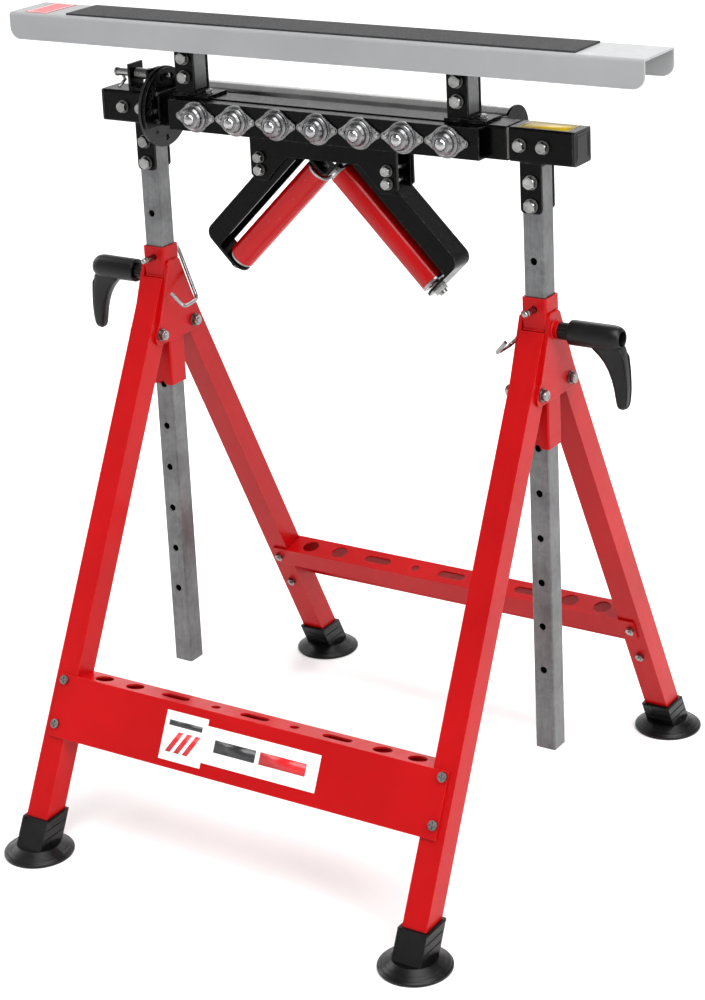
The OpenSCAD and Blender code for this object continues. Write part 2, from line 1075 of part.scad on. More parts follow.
module posts() {
    color("lightgray")
        stand()
            for (x = post_xs)
                translate([x, 0, 0])
                    union() {
                        difference() {
                            square_tube(column_side, 1.5, beam_top + 6.5, table_z - 5.5, 2);
                            for (z = [post_bolt_z1, post_bolt_z2])
                                translate([0, 0, z])
                                    rod_y(-20, 20, 8.4);
                        }
                        difference() {
                            translate([-32, -25, table_z - 5.5])
                                cube([64, 50, 3]);
                            for (sx = [-1, 1])
                                translate([sx * 24, 0, table_z - 8])
                                    cylinder(d = 6.4, h = 10, $fn = 32);
                        }
                    }
}

module post_bolts() {
    color("silver")
        stand()
            for (x = post_xs)
                for (z = [post_bolt_z1, post_bolt_z2])
                    translate([x, 0, z])
                        bolt_y(plate_y);
}

// Section of the table: channel open downwards with round bends
module table_section() {
    r = 4;
    difference() {
        union() {
            translate([-table_width / 2, table_z - table_depth])
                square([table_width, table_depth - r]);
            translate([-table_width / 2 + r, table_z - r - 1])
                square([table_width - 2 * r, r + 1]);
            for (sx = [-1, 1])
                translate([sx * (table_width / 2 - r), table_z - r])
                    circle(r = r, $fn = 48);
        }
        translate([-table_width / 2 + 2.5, table_z - table_depth - 1])
            square([table_width - 5, table_depth - 1.5]);
    }
}

module table() {
    color("silver")
        stand()
            difference() {
                translate([table_shift, 0, 0])
                    along_x(table_length)
                        table_section();
                for (sx = [-1, 1])
                    for (sy = [-1, 1])
                        translate([table_shift + sx * table_length / 2, sy * table_width / 2,
                                   table_z - table_depth])
                            rotate([90, 0, 0])
                                translate([0, 0, -5])
                                    linear_extrude(10)
                                        difference() {
                                            square([28, 28], center = true);
                                            translate([-sx * 14, 14])
                                                circle(r = 14, $fn = 64);
                                            translate([-sx * 30, 0])
                                                square([32, 60], center = true);
                                            translate([0, 30])
                                                square([60, 32], center = true);
                                        }
                for (x = post_xs)
                    for (sx = [-1, 1])
                        translate([x + sx * 24, 0, table_z - 8])
                            cylinder(d = 6.4, h = 10, $fn = 32);
            }
}

mat_x0 = -352;
mat_x1 = 322;

module table_mat() {
    color("dimgray")
        stand()
            difference() {
                translate([mat_x0, -table_width / 2 + 7, table_z])
                    cube([mat_x1 - mat_x0, table_width - 14, 2]);
                for (x = post_xs)
                    for (sx = [-1, 1])
                        translate([x + sx * 24, 0, table_z - 1])
                            cylinder(d = 11, h = 2.4, $fn = 48);
            }
}

module table_label() {
    color("red")
        stand()
            translate([table_shift - table_length / 2 + 19.5, -29, table_z])
                cube([32, 58, 0.5]);
}

// Flat screws that hold the table to the posts, hidden under the mat
module table_screws() {
    color("silver")
        stand()
            for (x = post_xs)
                for (sx = [-1, 1])
                    translate([x + sx * 24, 0, 0])
                        union() {
                            translate([0, 0, table_z])
                                cylinder(d = 10, h = 1.2, $fn = 48);
                            translate([0, 0, table_z - 14])
                                cylinder(d = 6, h = 14.5, $fn = 48);
                            translate([0, 0, table_z - 10.5])
                                cylinder(d = 10 / cos(30), h = 5, $fn = 6);
                        }
}

// ---- V rollers ----

// Outline of the bracket plates below the beam, with an ear at each end
module ear_outline() {
    difference() {
        union() {
            translate([-98.5, -22])
                square([197, 22]);
            for (sx = [-1, 1])
                polygon([[sx * 98.5, -10], [sx * 98.5, -46], [sx * 92, -52], [sx * 76, -52],
                         [sx * 66, -40], [sx * 48, -22], [sx * 44, -10]]);
        }
        for (sx = [-1, 1])
            for (z = [-25, -40])
                translate([sx * 86, z])
                    circle(d = 8.4, $fn = 32);
    }
}

module v_bracket() {
    color("black")
        stand()
            translate([vee_x, 0, beam_bot])
                union() {
                    for (sy = [-1, 1])
                        translate([0, sy * (beam / 2 - 1.5), 0])
                            rotate([90, 0, 0])
                                linear_extrude(3, center = true)
                                    ear_outline();
                    difference() {
                        translate([-98.5, -beam / 2 + 1, -3])
                            cube([197, beam - 2, 3]);
                        for (sx = [-1, 1])
                            translate([sx * 60 - 0, 0, -5])
                                cylinder(d = 6.4, h = 10, $fn = 32);
                    }
                    for (sx = [-1, 1])
                        mirror([sx < 0 ? 1 : 0, 0, 0])
                            translate([0, 0, vee_z - beam_bot])
                                rotate([0, 45, 0])
                                    difference() {
                                        translate([12.5, -15, -10])
                                            cube([3, 30, 60]);
                                        rod_x(10, 20, 10.4);
                                        rotate([0, -45, 0])
                                            translate([-50, -50, beam_bot - 1 - vee_z])
                                                cube([200, 100, 50]);
                                    }
                }
}

// Places children in the frame of one roller: X along its axis, Z towards the arm
module vee(sx) {
    translate([vee_x, 0, vee_z])
        mirror([sx < 0 ? 1 : 0, 0, 0])
            rotate([0, 45, 0])
                children();
}

// Pressed channel arm with an end flange for the axle
module v_arm() {
    hi = vee_offset;
    half = 15.8;
    cx = vee_flange - 9;
    difference() {
        union() {
            translate([16, -half, hi - 3])
                cube([cx - 15.9, 2 * half, 3]);
            // rounded corner between the back and the end flange
            translate([cx, 0, hi - 12])
                intersection() {
                    difference() {
                        rod_y(-half, half, 24);
                        rod_y(-half - 1, half + 1, 18);
                    }
                    translate([0, -half - 1, 0])
                        cube([20, 2 * half + 2, 20]);
                }
            for (sy = [-1, 1])
                translate([0, sy * (half - 1.5), 0])
                    rotate([90, 0, 0])
                        linear_extrude(3, center = true)
                            union() {
                                polygon([[30, hi - 24.5], [26, hi - 8], [26, hi - 1.5],
                                         [cx, hi - 1.5], [cx, hi - 12],
                                         [vee_flange + 1.5, hi - 12],
                                         [vee_flange + 1.5, hi - 24.5]]);
                                translate([cx, hi - 12])
                                    circle(r = 10.5, $fn = 64);
                            }
            for (sy = [-1, 1])
                translate([0, sy * (half - 1.5), 0])
                    rotate([0, -45, 0])
                        translate([74, -1.5, beam_bot - 47 - vee_z])
                            cube([23, 3, 47]);
            translate([vee_flange, -half, -4])
                cube([3, 2 * half, hi - 7.9]);
            translate([vee_flange, 0, -2])
                rod_x(0, 3, 27);
        }
        rod_x(vee_flange - 1, vee_flange + 5, 10.4);
        // square upper end below the beam and holes for the bracket bolts
        rotate([0, -45, 0])
            translate([-200, -50, beam_bot - 3 - vee_z])
                cube([400, 100, 100]);
        rotate([0, -45, 0])
            for (z = [-25, -40])
                translate([86, 0, beam_bot - vee_z + z])
                    rod_y(-30, 30, 8.4);
    }
}

module v_arms() {
    color("black")
        stand()
            for (sx = [-1, 1])
                vee(sx)
                    v_arm();
}

module v_bolts() {
    color("silver")
        stand()
            for (sx = [-1, 1])
                for (z = [-25, -40])
                    translate([vee_x + sx * 86, 0, beam_bot + z])
                        bolt_y(beam / 2, 8, 11);
}

// Axle through both roller ends with a nut outside the arm and inside the lug
module v_axles() {
    color("silver")
        stand()
            for (sx = [-1, 1])
                vee(sx)
                    union() {
                        rod_x(12, vee_flange + 12, 10);
                        translate([vee_flange + 3, 0, 0])
                            rotate([0, 90, 0])
                                cylinder(d = 16 / cos(30), h = 6, $fn = 6);
                    }
}

// Red tube with steel end rims, bored for the axle
module v_roller(sx) {
    vee(sx)
        difference() {
            union() {
                rod_x(vee_in + 3, vee_out - 3, vee_d);
                rod_x(vee_in, vee_in + 3.1, vee_d - 1);
                rod_x(vee_out - 3.1, vee_out, vee_d - 1);
            }
            rod_x(vee_in - 1, vee_out + 1, 10.12);
            rod_x(vee_in + 12, vee_out - 12, vee_d - 5);
            rod_x(vee_in - 1, vee_in + 1.2, 20);
            rod_x(vee_out - 1.2, vee_out + 1, 20);
        }
}

module v_roller_left() {
    color("red")
        stand()
            v_roller(-1);
}

module v_roller_right() {
    color("red")
        stand()
            v_roller(1);
}

// ---- long roller ----

roller_half = roller_length / 2;

// Rounded end plates on stub arms from the back of the beam
module roller_plates() {
    color("dimgray")
        stand()
            for (sx = [0, 1])
                translate([roller_x, 0, axis_z])
                    mirror([sx, 0, 0])
                        translate([roller_half + 1.3, 0, 0])
                            difference() {
                                union() {
                                    translate([0, roller_y, 0])
                                        rod_x(0, 3, 54);
                                    translate([0, beam / 2, -17])
                                        cube([3, roller_y - beam / 2, 36]);
                                }
                                translate([0, roller_y, 0])
                                    rod_x(-1, 5, 12.2);
                            }
}

module long_roller() {
    color("silver")
        stand()
            translate([roller_x, roller_y, axis_z])
                difference() {
                    rod_x(-roller_half, roller_half, roller_d);
                    rod_x(-roller_half - 1, roller_half + 1, 12.12);
                    rod_x(-roller_half + 14, roller_half - 14, roller_d - 5);
                    for (sx = [-1, 1])
                        translate([sx * roller_half, 0, 0])
                            rod_x(-1.5, 1.5, 40);
                }
}

module roller_axle() {
    color("silver")
        stand()
            translate([roller_x, roller_y, axis_z])
                union() {
                    rod_x(-roller_half - 11, roller_half + 11, 12);
                    for (sx = [-1, 1])
                        translate([sx * (roller_half + 7.3), 0, 0])
                            rotate([0, 90, 0])
                                cylinder(d = 18 / cos(30), h = 6, center = true, $fn = 6);
                }
}

// ---- drawing ----

feet();
front_legs();
rear_legs();
sleeves();
gussets();
gusset_bolts();
front_crossbar();
rear_crossbar();
crossbar_screws();
front_label();
sleeve_nuts();
clamp_screw_left();
clamp_handle_left();
clamp_screw_right();
clamp_handle_right();
lock_pin_left();
lock_pin_right();
columns();
column_brackets();
column_bolts();
end_tube_left();
end_tube_right();
end_caps();
end_tube_bolts();
pivot_bars();
plunger_bracket();
plunger();
plunger_spring();
main_tube();
pivot_bushes();
end_plate();
index_disc();
disc_screws();
ball_channel();
ball_cups();
ball_screws();
ball_1();
ball_2();
ball_3();
ball_4();
ball_5();
ball_6();
ball_7();
post_brackets();
posts();
post_bolts();
table();
table_mat();
table_label();
table_screws();
v_bracket();
v_arms();
v_bolts();
v_axles();
v_roller_left();
v_roller_right();
roller_plates();
long_roller();
roller_axle();
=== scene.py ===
import bpy
import bmesh
import json
import math
from mathutils import Matrix, Vector, noise


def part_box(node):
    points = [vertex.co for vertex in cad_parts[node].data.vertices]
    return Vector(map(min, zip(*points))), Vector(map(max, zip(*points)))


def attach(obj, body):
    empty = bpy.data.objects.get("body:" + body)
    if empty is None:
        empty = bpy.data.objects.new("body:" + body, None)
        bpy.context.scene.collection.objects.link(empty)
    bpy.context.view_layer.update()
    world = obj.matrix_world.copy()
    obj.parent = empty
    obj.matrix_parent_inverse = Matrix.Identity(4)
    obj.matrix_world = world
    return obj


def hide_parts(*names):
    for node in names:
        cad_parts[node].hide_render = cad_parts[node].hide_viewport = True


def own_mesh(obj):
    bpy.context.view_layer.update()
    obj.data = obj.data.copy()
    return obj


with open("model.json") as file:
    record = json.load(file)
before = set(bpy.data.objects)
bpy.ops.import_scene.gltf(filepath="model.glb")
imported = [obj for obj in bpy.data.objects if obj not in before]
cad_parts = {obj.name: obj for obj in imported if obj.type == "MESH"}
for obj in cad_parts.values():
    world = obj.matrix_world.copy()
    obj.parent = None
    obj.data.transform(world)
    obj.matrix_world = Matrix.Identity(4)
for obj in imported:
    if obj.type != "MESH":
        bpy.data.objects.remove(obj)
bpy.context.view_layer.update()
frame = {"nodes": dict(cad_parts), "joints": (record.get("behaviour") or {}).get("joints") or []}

MM = 0.001

# places and sizes that are the same in the CAD model
STAND_X = 0.0145                # middle of the trestles along X
SIDE = {"left": -1, "right": 1}
LEG_LEAN = math.radians(26.7)   # the legs' angle from upright
LEG_SPREAD = 0.3355             # middle of the stand to a leg's outer face at the floor
LEG_SIDE = 30 * MM
SLEEVE_HALF = 15 * MM
GUSSET_T = 3 * MM
AXIS_Z = 0.834                  # height of the head's turning axis
UP = (0, 0, 1)


def centre(node):
    lo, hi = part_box(node)
    return (lo + hi) / 2


def islands(node):
    """Boxes of the separate solids in a CAD node, left to right."""
    me = frame["nodes"][node].data
    parent = list(range(len(me.vertices)))
    key = {}
    for v in me.vertices:
        k = tuple(round(c, 6) for c in v.co)
        if k in key:
            parent[v.index] = key[k]
        else:
            key[k] = v.index

    def find(i):
        while parent[i] != i:
            parent[i] = parent[parent[i]]
            i = parent[i]
        return i

    for e in me.edges:
        a, b = find(e.vertices[0]), find(e.vertices[1])
        if a != b:
            parent[a] = b
    groups = {}
    for v in me.vertices:
        groups.setdefault(find(v.index), []).append(v.co)
    out = []
    for pts in groups.values():
        lo = Vector([min(p[i] for p in pts) for i in range(3)])
        hi = Vector([max(p[i] for p in pts) for i in range(3)])
        out.append((lo, hi))
    return sorted(out, key=lambda b: (round(b[0].x, 4), round(b[0].y, 4), round(b[0].z, 4)))


# ---------------------------------------------------------------- materials


class Nodes:
    """Short helper for building one material's node tree."""

    def __init__(self, name):
        self.mat = bpy.data.materials.new(name)
        self.mat.use_nodes = True
        self.t = self.mat.node_tree
        self.bsdf = self.t.nodes["Principled BSDF"]
        self.coord = self.new("ShaderNodeTexCoord").outputs["Object"]

    def new(self, kind, **props):
        n = self.t.nodes.new(kind)
        for k, v in props.items():
            setattr(n, k, v)
        return n

    def link(self, a, b):
        self.t.links.new(a, b)

    def noise(self, scale, detail, rough=0.55, stretch=None):
        n = self.new("ShaderNodeTexNoise")
        n.inputs["Scale"].default_value = scale
        n.inputs["Detail"].default_value = detail
        n.inputs["Roughness"].default_value = rough
        vector = self.coord
        if stretch:
            m = self.new("ShaderNodeMapping")
            m.inputs["Scale"].default_value = stretch
            self.link(self.coord, m.inputs["Vector"])
            vector = m.outputs["Vector"]
        self.link(vector, n.inputs["Vector"])
        return n.outputs["Fac"]

    def voronoi(self, scale, output="Distance"):
        n = self.new("ShaderNodeTexVoronoi")
        n.inputs["Scale"].default_value = scale
        self.link(self.coord, n.inputs["Vector"])
        return n.outputs[output]

    def ramp(self, value, lo, hi, a=0.0, b=1.0):
        """Maps lo..hi to a..b, clamped at both ends."""
        n = self.new("ShaderNodeMapRange")
        n.inputs["From Min"].default_value = lo
        n.inputs["From Max"].default_value = hi
        n.inputs["To Min"].default_value = a
        n.inputs["To Max"].default_value = b
        self.link(value, n.inputs["Value"])
        return n.outputs["Result"]

    def math(self, op, a, b):
        n = self.new("ShaderNodeMath", operation=op)
        self.link(a, n.inputs[0])
        self.link(b, n.inputs[1])
        return n.outputs[0]

    def mix(self, fac, a, b):
        """Mixes two colours, each a tuple or a socket."""
        n = self.new("ShaderNodeMix", data_type="RGBA")
        self.link(fac, n.inputs["Factor"])
        for key, v in (("A", a), ("B", b)):
            sock = [s for s in n.inputs if s.name == key and s.type == "RGBA"][0]
            if isinstance(v, tuple):
                sock.default_value = (*v, 1)
            else:
                self.link(v, sock)
        return [s for s in n.outputs if s.type == "RGBA"][0]

    def bevel(self, radius):
        n = self.new("ShaderNodeBevel", samples=4)
        n.inputs["Radius"].default_value = radius
        return n.outputs["Normal"]

    def edge(self):
        """0 on flat faces, 1 on outer edges, from how far the bevel bends the normal."""
        radius, flat, bent = 0.0012, 0.9965, 0.97
        geo = self.new("ShaderNodeNewGeometry")
        dot = self.new("ShaderNodeVectorMath", operation="DOT_PRODUCT")
        self.link(self.bevel(radius), dot.inputs[0])
        self.link(geo.outputs["Normal"], dot.inputs[1])
        return self.ramp(dot.outputs["Value"], flat, bent)

    def finish(self, colour, rough, bumps, metal=0.0, bevel=0.0006, coat=0.0,
               coat_rough=0.1, spec=0.5):
        """Wires up the shader; bumps are (height, strength, distance) over the bevel."""
        b = self.bsdf
        self.link(colour, b.inputs["Base Color"])
        self.link(rough, b.inputs["Roughness"])
        b.inputs["Metallic"].default_value = metal
        b.inputs["Coat Weight"].default_value = coat
        b.inputs["Coat Roughness"].default_value = coat_rough
        b.inputs["Specular IOR Level"].default_value = spec
        normal = self.bevel(bevel) if bevel else None
        for height, strength, dist in bumps:
            bump = self.new("ShaderNodeBump")
            bump.inputs["Strength"].default_value = strength
            bump.inputs["Distance"].default_value = dist
            self.link(height, bump.inputs["Height"])
            if normal is not None:
                self.link(normal, bump.inputs["Normal"])
            normal = bump.outputs["Normal"]
        self.link(normal, b.inputs["Normal"])
        return self.mat


def powder(name, base, dark, rough, coat, peel=0.05, edge_wear_and_highlight=None, spec=0.3):
    """Powder coat: faint orange peel, dust in the broad pattern, lighter edges that are partly
    wear and partly a painted highlight.
    """
    n = Nodes(name)
    broad = n.noise(7.0, 3.0)
    fine = n.noise(650.0, 2.0)
    speck = n.noise(95.0, 6.0, 0.7)
    colour = n.mix(n.ramp(broad, 0.3, 0.7), dark, base)
    colour = n.mix(n.ramp(speck, 0.66, 0.8, 0.0, 0.25), colour, dark)
    # lighter edge colour: partly worn paint, partly a painted highlight where the gloss would
    # catch the edges
    if edge_wear_and_highlight:
        wear_and_highlight_breakup = n.noise(180.0, 5.0, 0.7)
        wear_and_highlight_mask = n.math("MULTIPLY", n.edge(), n.ramp(wear_and_highlight_breakup, 0.5, 0.62, 0.25, 0.8))
        colour = n.mix(wear_and_highlight_mask, colour, edge_wear_and_highlight)
    scratch = n.noise(60.0, 3.0, 0.6, stretch=(1.0, 14.0, 1.0))
    r = n.math("ADD", n.ramp(speck, 0.3, 0.75, rough - 0.05, rough + 0.08),
               n.ramp(scratch, 0.66, 0.72, 0.0, 0.1))
    return n.finish(colour, r, coat=coat, coat_rough=0.12, spec=spec,
                    bumps=[(fine, peel, 0.0004), (broad, 0.05, 0.002)])


def steel(name, base, dark, rough, stretch=(1, 1, 1), line=0.06, spots=0.3, bevel=0.0005):
    """Plated or drawn steel: fine lines along one way, cloudy tone and small stains."""
    n = Nodes(name)
    lines = n.noise(420.0, 3.0, 0.6, stretch=stretch)
    cloud = n.noise(28.0, 5.0, 0.6)
    stain = n.noise(150.0, 6.0, 0.75)
    colour = n.mix(n.ramp(cloud, 0.3, 0.7), dark, base)
    colour = n.mix(n.ramp(stain, 0.6, 0.75, 0.0, spots), colour, dark)
    r = n.math("ADD", n.ramp(lines, 0.3, 0.7, rough - 0.05, rough + 0.07),
               n.ramp(cloud, 0.4, 0.8, 0.0, 0.08))
    return n.finish(colour, r, metal=1.0, bevel=bevel,
                    bumps=[(lines, line, 0.0002), (stain, 0.03, 0.0002)])


def make_materials():
    m = {}
    # the lighter edge colours below are partly wear and partly a painted highlight; on the black
    # paint they are chiefly a painted highlight along the glossy edges
    m["red"] = powder("paint_red", (0.43, 0.003, 0.005), (0.35, 0.002, 0.0035), 0.34, 0.08,
                      edge_wear_and_highlight=(0.6, 0.05, 0.04), spec=0.2)
    m["black"] = powder("paint_black", (0.002, 0.002, 0.0022), (0.0012, 0.0012, 0.0014), 0.24,
                        0.03, peel=0.08, edge_wear_and_highlight=(0.13, 0.13, 0.134), spec=0.14)
    m["disc"] = powder("paint_disc_black", (0.008, 0.008, 0.0085), (0.005, 0.005, 0.0055), 0.3,
                       0.15, peel=0.08, edge_wear_and_highlight=(0.12, 0.12, 0.125), spec=0.3)
    m["grey"] = powder("paint_table_grey", (0.33, 0.334, 0.338), (0.29, 0.294, 0.298), 0.44, 0.05,
                       edge_wear_and_highlight=(0.6, 0.6, 0.61))
    m["roller_red"] = powder("paint_roller_red", (0.42, 0.002, 0.004), (0.34, 0.0015, 0.003), 0.22,
                             0.15, peel=0.03, spec=0.3)
    # galvanised tube: soft spangle under a dull oxide
    n = Nodes("galvanised")
    cell = n.voronoi(210.0, output="Color")
    grey = n.new("ShaderNodeRGBToBW")
    n.link(cell, grey.inputs[0])
    lines = n.noise(500.0, 3.0, stretch=(1.0, 1.0, 0.06))
    cloud = n.noise(22.0, 5.0)
    tone = n.math("ADD", n.ramp(grey.outputs[0], 0.2, 0.8, -0.06, 0.06), cloud)
    tone = n.math("ADD", tone, n.ramp(lines, 0.3, 0.7, -0.09, 0.09))
    colour = n.mix(n.ramp(tone, 0.3, 0.75), (0.125, 0.126, 0.128), (0.215, 0.217, 0.22))
    rough = n.ramp(tone, 0.3, 0.8, 0.3, 0.44)
    m["galv"] = n.finish(colour, rough, metal=0.9, bumps=[(lines, 0.05, 0.0002)], bevel=0.0008)
    m["zinc"] = steel("zinc_plate", (0.4, 0.4, 0.392), (0.2, 0.2, 0.196), 0.22)
    m["washer"] = steel("zinc_washer", (0.24, 0.24, 0.236), (0.12, 0.12, 0.118), 0.3)
    m["turned"] = steel("turned_steel", (0.68, 0.68, 0.675), (0.58, 0.58, 0.575), 0.16,
                        stretch=(1.0, 0.02, 0.02), line=0.02, spots=0.06)
    m["chrome"] = steel("pressed_cup", (0.27, 0.27, 0.273), (0.17, 0.17, 0.173), 0.22, line=0.02,
                        spots=0.2, bevel=0.0004)
    m["ball"] = steel("ball_chrome", (0.42, 0.42, 0.425), (0.34, 0.34, 0.345), 0.07, line=0.01,
                      spots=0.1, bevel=0)
    m["spring"] = steel("spring_steel", (0.5, 0.5, 0.49), (0.34, 0.34, 0.33), 0.28, bevel=0)
    # rubber foot
    n = Nodes("rubber")
    grain = n.noise(900.0, 3.0)
    dust = n.noise(40.0, 6.0, 0.65)
    colour = n.mix(n.ramp(dust, 0.45, 0.75), (0.0035, 0.0035, 0.0038), (0.009, 0.009, 0.0095))
    m["rubber"] = n.finish(colour, n.ramp(dust, 0.3, 0.8, 0.26, 0.42), bevel=0.001, spec=0.35,
                           bumps=[(grain, 0.12, 0.0003), (dust, 0.08, 0.0008)])
    # moulded plastic
    n = Nodes("moulded_black")
    grain = n.voronoi(1300.0)
    rub = n.noise(35.0, 5.0, 0.6)
    colour = n.mix(n.ramp(rub, 0.5, 0.75), (0.006, 0.006, 0.0064), (0.011, 0.011, 0.0115))
    m["plastic"] = n.finish(colour, n.ramp(rub, 0.3, 0.75, 0.3, 0.44), bevel=0.0007, spec=0.35,
                            bumps=[(grain, 0.14, 0.0002), (rub, 0.05, 0.0006)])
    n = Nodes("bush_nylon")
    grain = n.noise(700.0, 3.0)
    colour = n.mix(n.noise(60.0, 4.0), (0.62, 0.6, 0.5), (0.74, 0.72, 0.62))
    m["nylon"] = n.finish(colour, n.ramp(grain, 0.3, 0.7, 0.4, 0.5), bumps=[(grain, 0.06, 0.0002)])
    # anti-slip strip: coarse mineral grain in a dark binder
    n = Nodes("mat_grit")
    grit = n.voronoi(1100.0)
    size = n.noise(420.0, 5.0, 0.75)
    wide = n.noise(9.0, 4.0)
    tone = n.math("ADD", n.ramp(grit, 0.1, 0.6, 0.6, 0.0), n.ramp(size, 0.35, 0.7, 0.0, 0.5))
    colour = n.mix(n.ramp(tone, 0.1, 0.9), (0.03, 0.03, 0.031), (0.115, 0.115, 0.118))
    colour = n.mix(n.ramp(wide, 0.4, 0.7, 0.0, 0.35), colour, (0.075, 0.075, 0.077))
    m["mat"] = n.finish(colour, n.ramp(size, 0.3, 0.7, 0.78, 0.95), spec=0.3, bevel=0.0005,
                        bumps=[(grit, 0.55, 0.0005), (size, 0.4, 0.0006)])
    # printed film labels
    for key, a, b in (("film_white", (0.84, 0.84, 0.84), (0.78, 0.78, 0.78)),
                      ("film_red", (0.6, 0.012, 0.02), (0.52, 0.01, 0.016)),
                      ("film_yellow", (0.8, 0.55, 0.01), (0.72, 0.48, 0.01)),
                      ("film_dark", (0.02, 0.02, 0.022), (0.03, 0.03, 0.032))):
        n = Nodes(key)
        ripple = n.noise(45.0, 3.0)
        fibre = n.noise(900.0, 3.0)
        m[key] = n.finish(n.mix(n.ramp(ripple, 0.35, 0.7), a, b),
                          n.ramp(fibre, 0.3, 0.7, 0.28, 0.4), coat=0.3, bevel=0.0002,
                          bumps=[(ripple, 0.04, 0.0008), (fibre, 0.05, 0.0001)])
    # dark bearing seal and inside recess
    n = Nodes("seal")
    ring = n.noise(300.0, 3.0)
    m["seal"] = n.finish(n.mix(ring, (0.01, 0.01, 0.01), (0.03, 0.03, 0.03)),
                         n.ramp(ring, 0.3, 0.7, 0.4, 0.55), bumps=[(ring, 0.08, 0.0002)])
    # floor
    n = Nodes("floor")
    soft = n.noise(1.3, 4.0)
    grain = n.noise(160.0, 4.0)
    m["floor"] = n.finish(n.mix(soft, (0.86, 0.86, 0.86), (0.89, 0.89, 0.89)),
                          n.ramp(grain, 0.3, 0.7, 0.7, 0.85), spec=0.15, bevel=0,
                          bumps=[(grain, 0.03, 0.0004)])
    return m


M = make_materials()

NODE_MATERIAL = {
    "red": ["front_legs", "rear_legs", "sleeves", "gussets", "sleeve_nuts", "front_crossbar",
            "rear_crossbar"],
    "rubber": ["feet"],
    "zinc": ["gusset_bolts", "crossbar_screws", "column_bolts", "end_tube_bolts", "post_bolts",
             "v_bolts", "v_axles", "disc_screws", "table_screws", "ball_screws", "roller_axle",
             "lock_pin_left", "lock_pin_right", "plunger", "pivot_bars"],
    "spring": ["plunger_spring"],
    "plastic": ["clamp_handle_left", "clamp_handle_right", "end_caps", "clamp_screw_left",
                "clamp_screw_right"],
    "galv": ["columns", "posts"],
    "black": ["column_brackets", "end_tube_left", "end_tube_right", "plunger_bracket",
              "main_tube", "end_plate", "ball_channel", "post_brackets", "v_bracket", "v_arms",
              "roller_plates"],
    "disc": ["index_disc"],
    "nylon": ["pivot_bushes"],
    "chrome": ["ball_cups"],
    "ball": ["ball_%d" % i for i in range(1, 8)],
    "grey": ["table"],
    "mat": ["table_mat"],
    "film_red": ["table_label"],
    "film_white": ["front_label"],
    "roller_red": ["v_roller_left", "v_roller_right"],
    "turned": ["long_roller"],
}
for key, names in NODE_MATERIAL.items():
    for name in names:
        o = frame["nodes"][name]
        o.data.materials.clear()
        o.data.materials.append(M[key])

# ---------------------------------------------------------------- mesh helpers


def mm(points):
    """Points or profiles written in millimetres, as metres."""
    return [tuple(c * MM for c in p) for p in points]


def mesh_object(name, bm, material):
    me = bpy.data.meshes.new(name)
    bmesh.ops.recalc_face_normals(bm, faces=bm.faces)
    bm.to_mesh(me)
    bm.free()
    me.materials.append(M[material])
    for p in me.polygons:
        p.use_smooth = True
    o = bpy.data.objects.new(name, me)
    bpy.context.scene.collection.objects.link(o)
    return o


def add(name, bm, body, material, smooth):
    """Adds a piece that rides on a body; edges sharper than smooth degrees stay sharp."""
    bmesh.ops.remove_doubles(bm, verts=bm.verts, dist=1e-7)
    o = mesh_object(name, bm, material)
    if smooth:
        o.data.set_sharp_from_angle(angle=math.radians(smooth))
    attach(o, body)
    return o


def basis(axis):
    """Rotation that turns local Z to the axis."""
    z = Vector(axis).normalized()
    x = Vector((0, 0, 1)).cross(z)
    if x.length < 1e-4:
        x = Vector((1, 0, 0))
    x.normalize()
    y = z.cross(x)
    return Matrix((x, y, z)).transposed().to_4x4()


def bridge(bm, a, b):
    """Quads between two closed rings of the same number of vertices."""
    n = len(a)
    for i in range(n):
        j = (i + 1) % n
        bm.faces.new((a[i], a[j], b[j], b[i]))


def revolve(bm, profile, origin, axis, steps=48):
    """Turns a list of (radius, along) points round an axis through origin."""
    mat = Matrix.Translation(Vector(origin)) @ basis(axis)
    rings = []
    for r, h in profile:
        if r < 1e-9:
            rings.append([bm.verts.new(mat @ Vector((0, 0, h)))])
            continue
        turns = [2 * math.pi * i / steps for i in range(steps)]
        rings.append([bm.verts.new(mat @ Vector((r * math.cos(a), r * math.sin(a), h)))
                      for a in turns])
    for a, b in zip(rings, rings[1:]):
        if len(a) > 1 and len(b) > 1:
            bridge(bm, a, b)
            continue
        for i in range(steps):
            j = (i + 1) % steps
            if len(a) == 1:
                bm.faces.new((a[0], b[i], b[j]))
            else:
                bm.faces.new((a[i], a[j], b[0]))


def tube(bm, points, radius, sides, closed_ends=True, ripple=None):
    """Sweeps a round section along points; ripple(distance) scales the radius."""
    pts = [Vector(p) for p in points]
    up = None
    rings = []
    run = 0.0
    for i, p in enumerate(pts):
        t = (pts[min(i + 1, len(pts) - 1)] - pts[max(i - 1, 0)]).normalized()
        if up is None:
            up = t.orthogonal().normalized()
        up = (up - t * up.dot(t)).normalized()
        side = t.cross(up)
        if i:
            run += (p - pts[i - 1]).length
        r = radius * (ripple(run) if ripple else 1.0)
        turns = [2 * math.pi * j / sides for j in range(sides)]
        rings.append([bm.verts.new(p + (up * math.cos(a) + side * math.sin(a)) * r)
                      for a in turns])
    for a, b in zip(rings, rings[1:]):
        bridge(bm, a, b)
    if closed_ends:
        bm.faces.new(rings[0])
        bm.faces.new(list(reversed(rings[-1])))


def smooth_path(points, radius, steps):
    """Rounds the corners of a polyline with arcs of about the given radius."""
    pts = [Vector(p) for p in points]
    out = [pts[0]]
    for a, b, c in zip(pts, pts[1:], pts[2:]):
        u, v = (a - b), (c - b)
        k = min(radius, 0.45 * u.length, 0.45 * v.length)
        s, e = b + u.normalized() * k, b + v.normalized() * k
        for i in range(steps + 1):
            t = i / steps
            out.append((1 - t) ** 2 * s + 2 * t * (1 - t) * b + t * t * e)
    out.append(pts[-1])
    return out


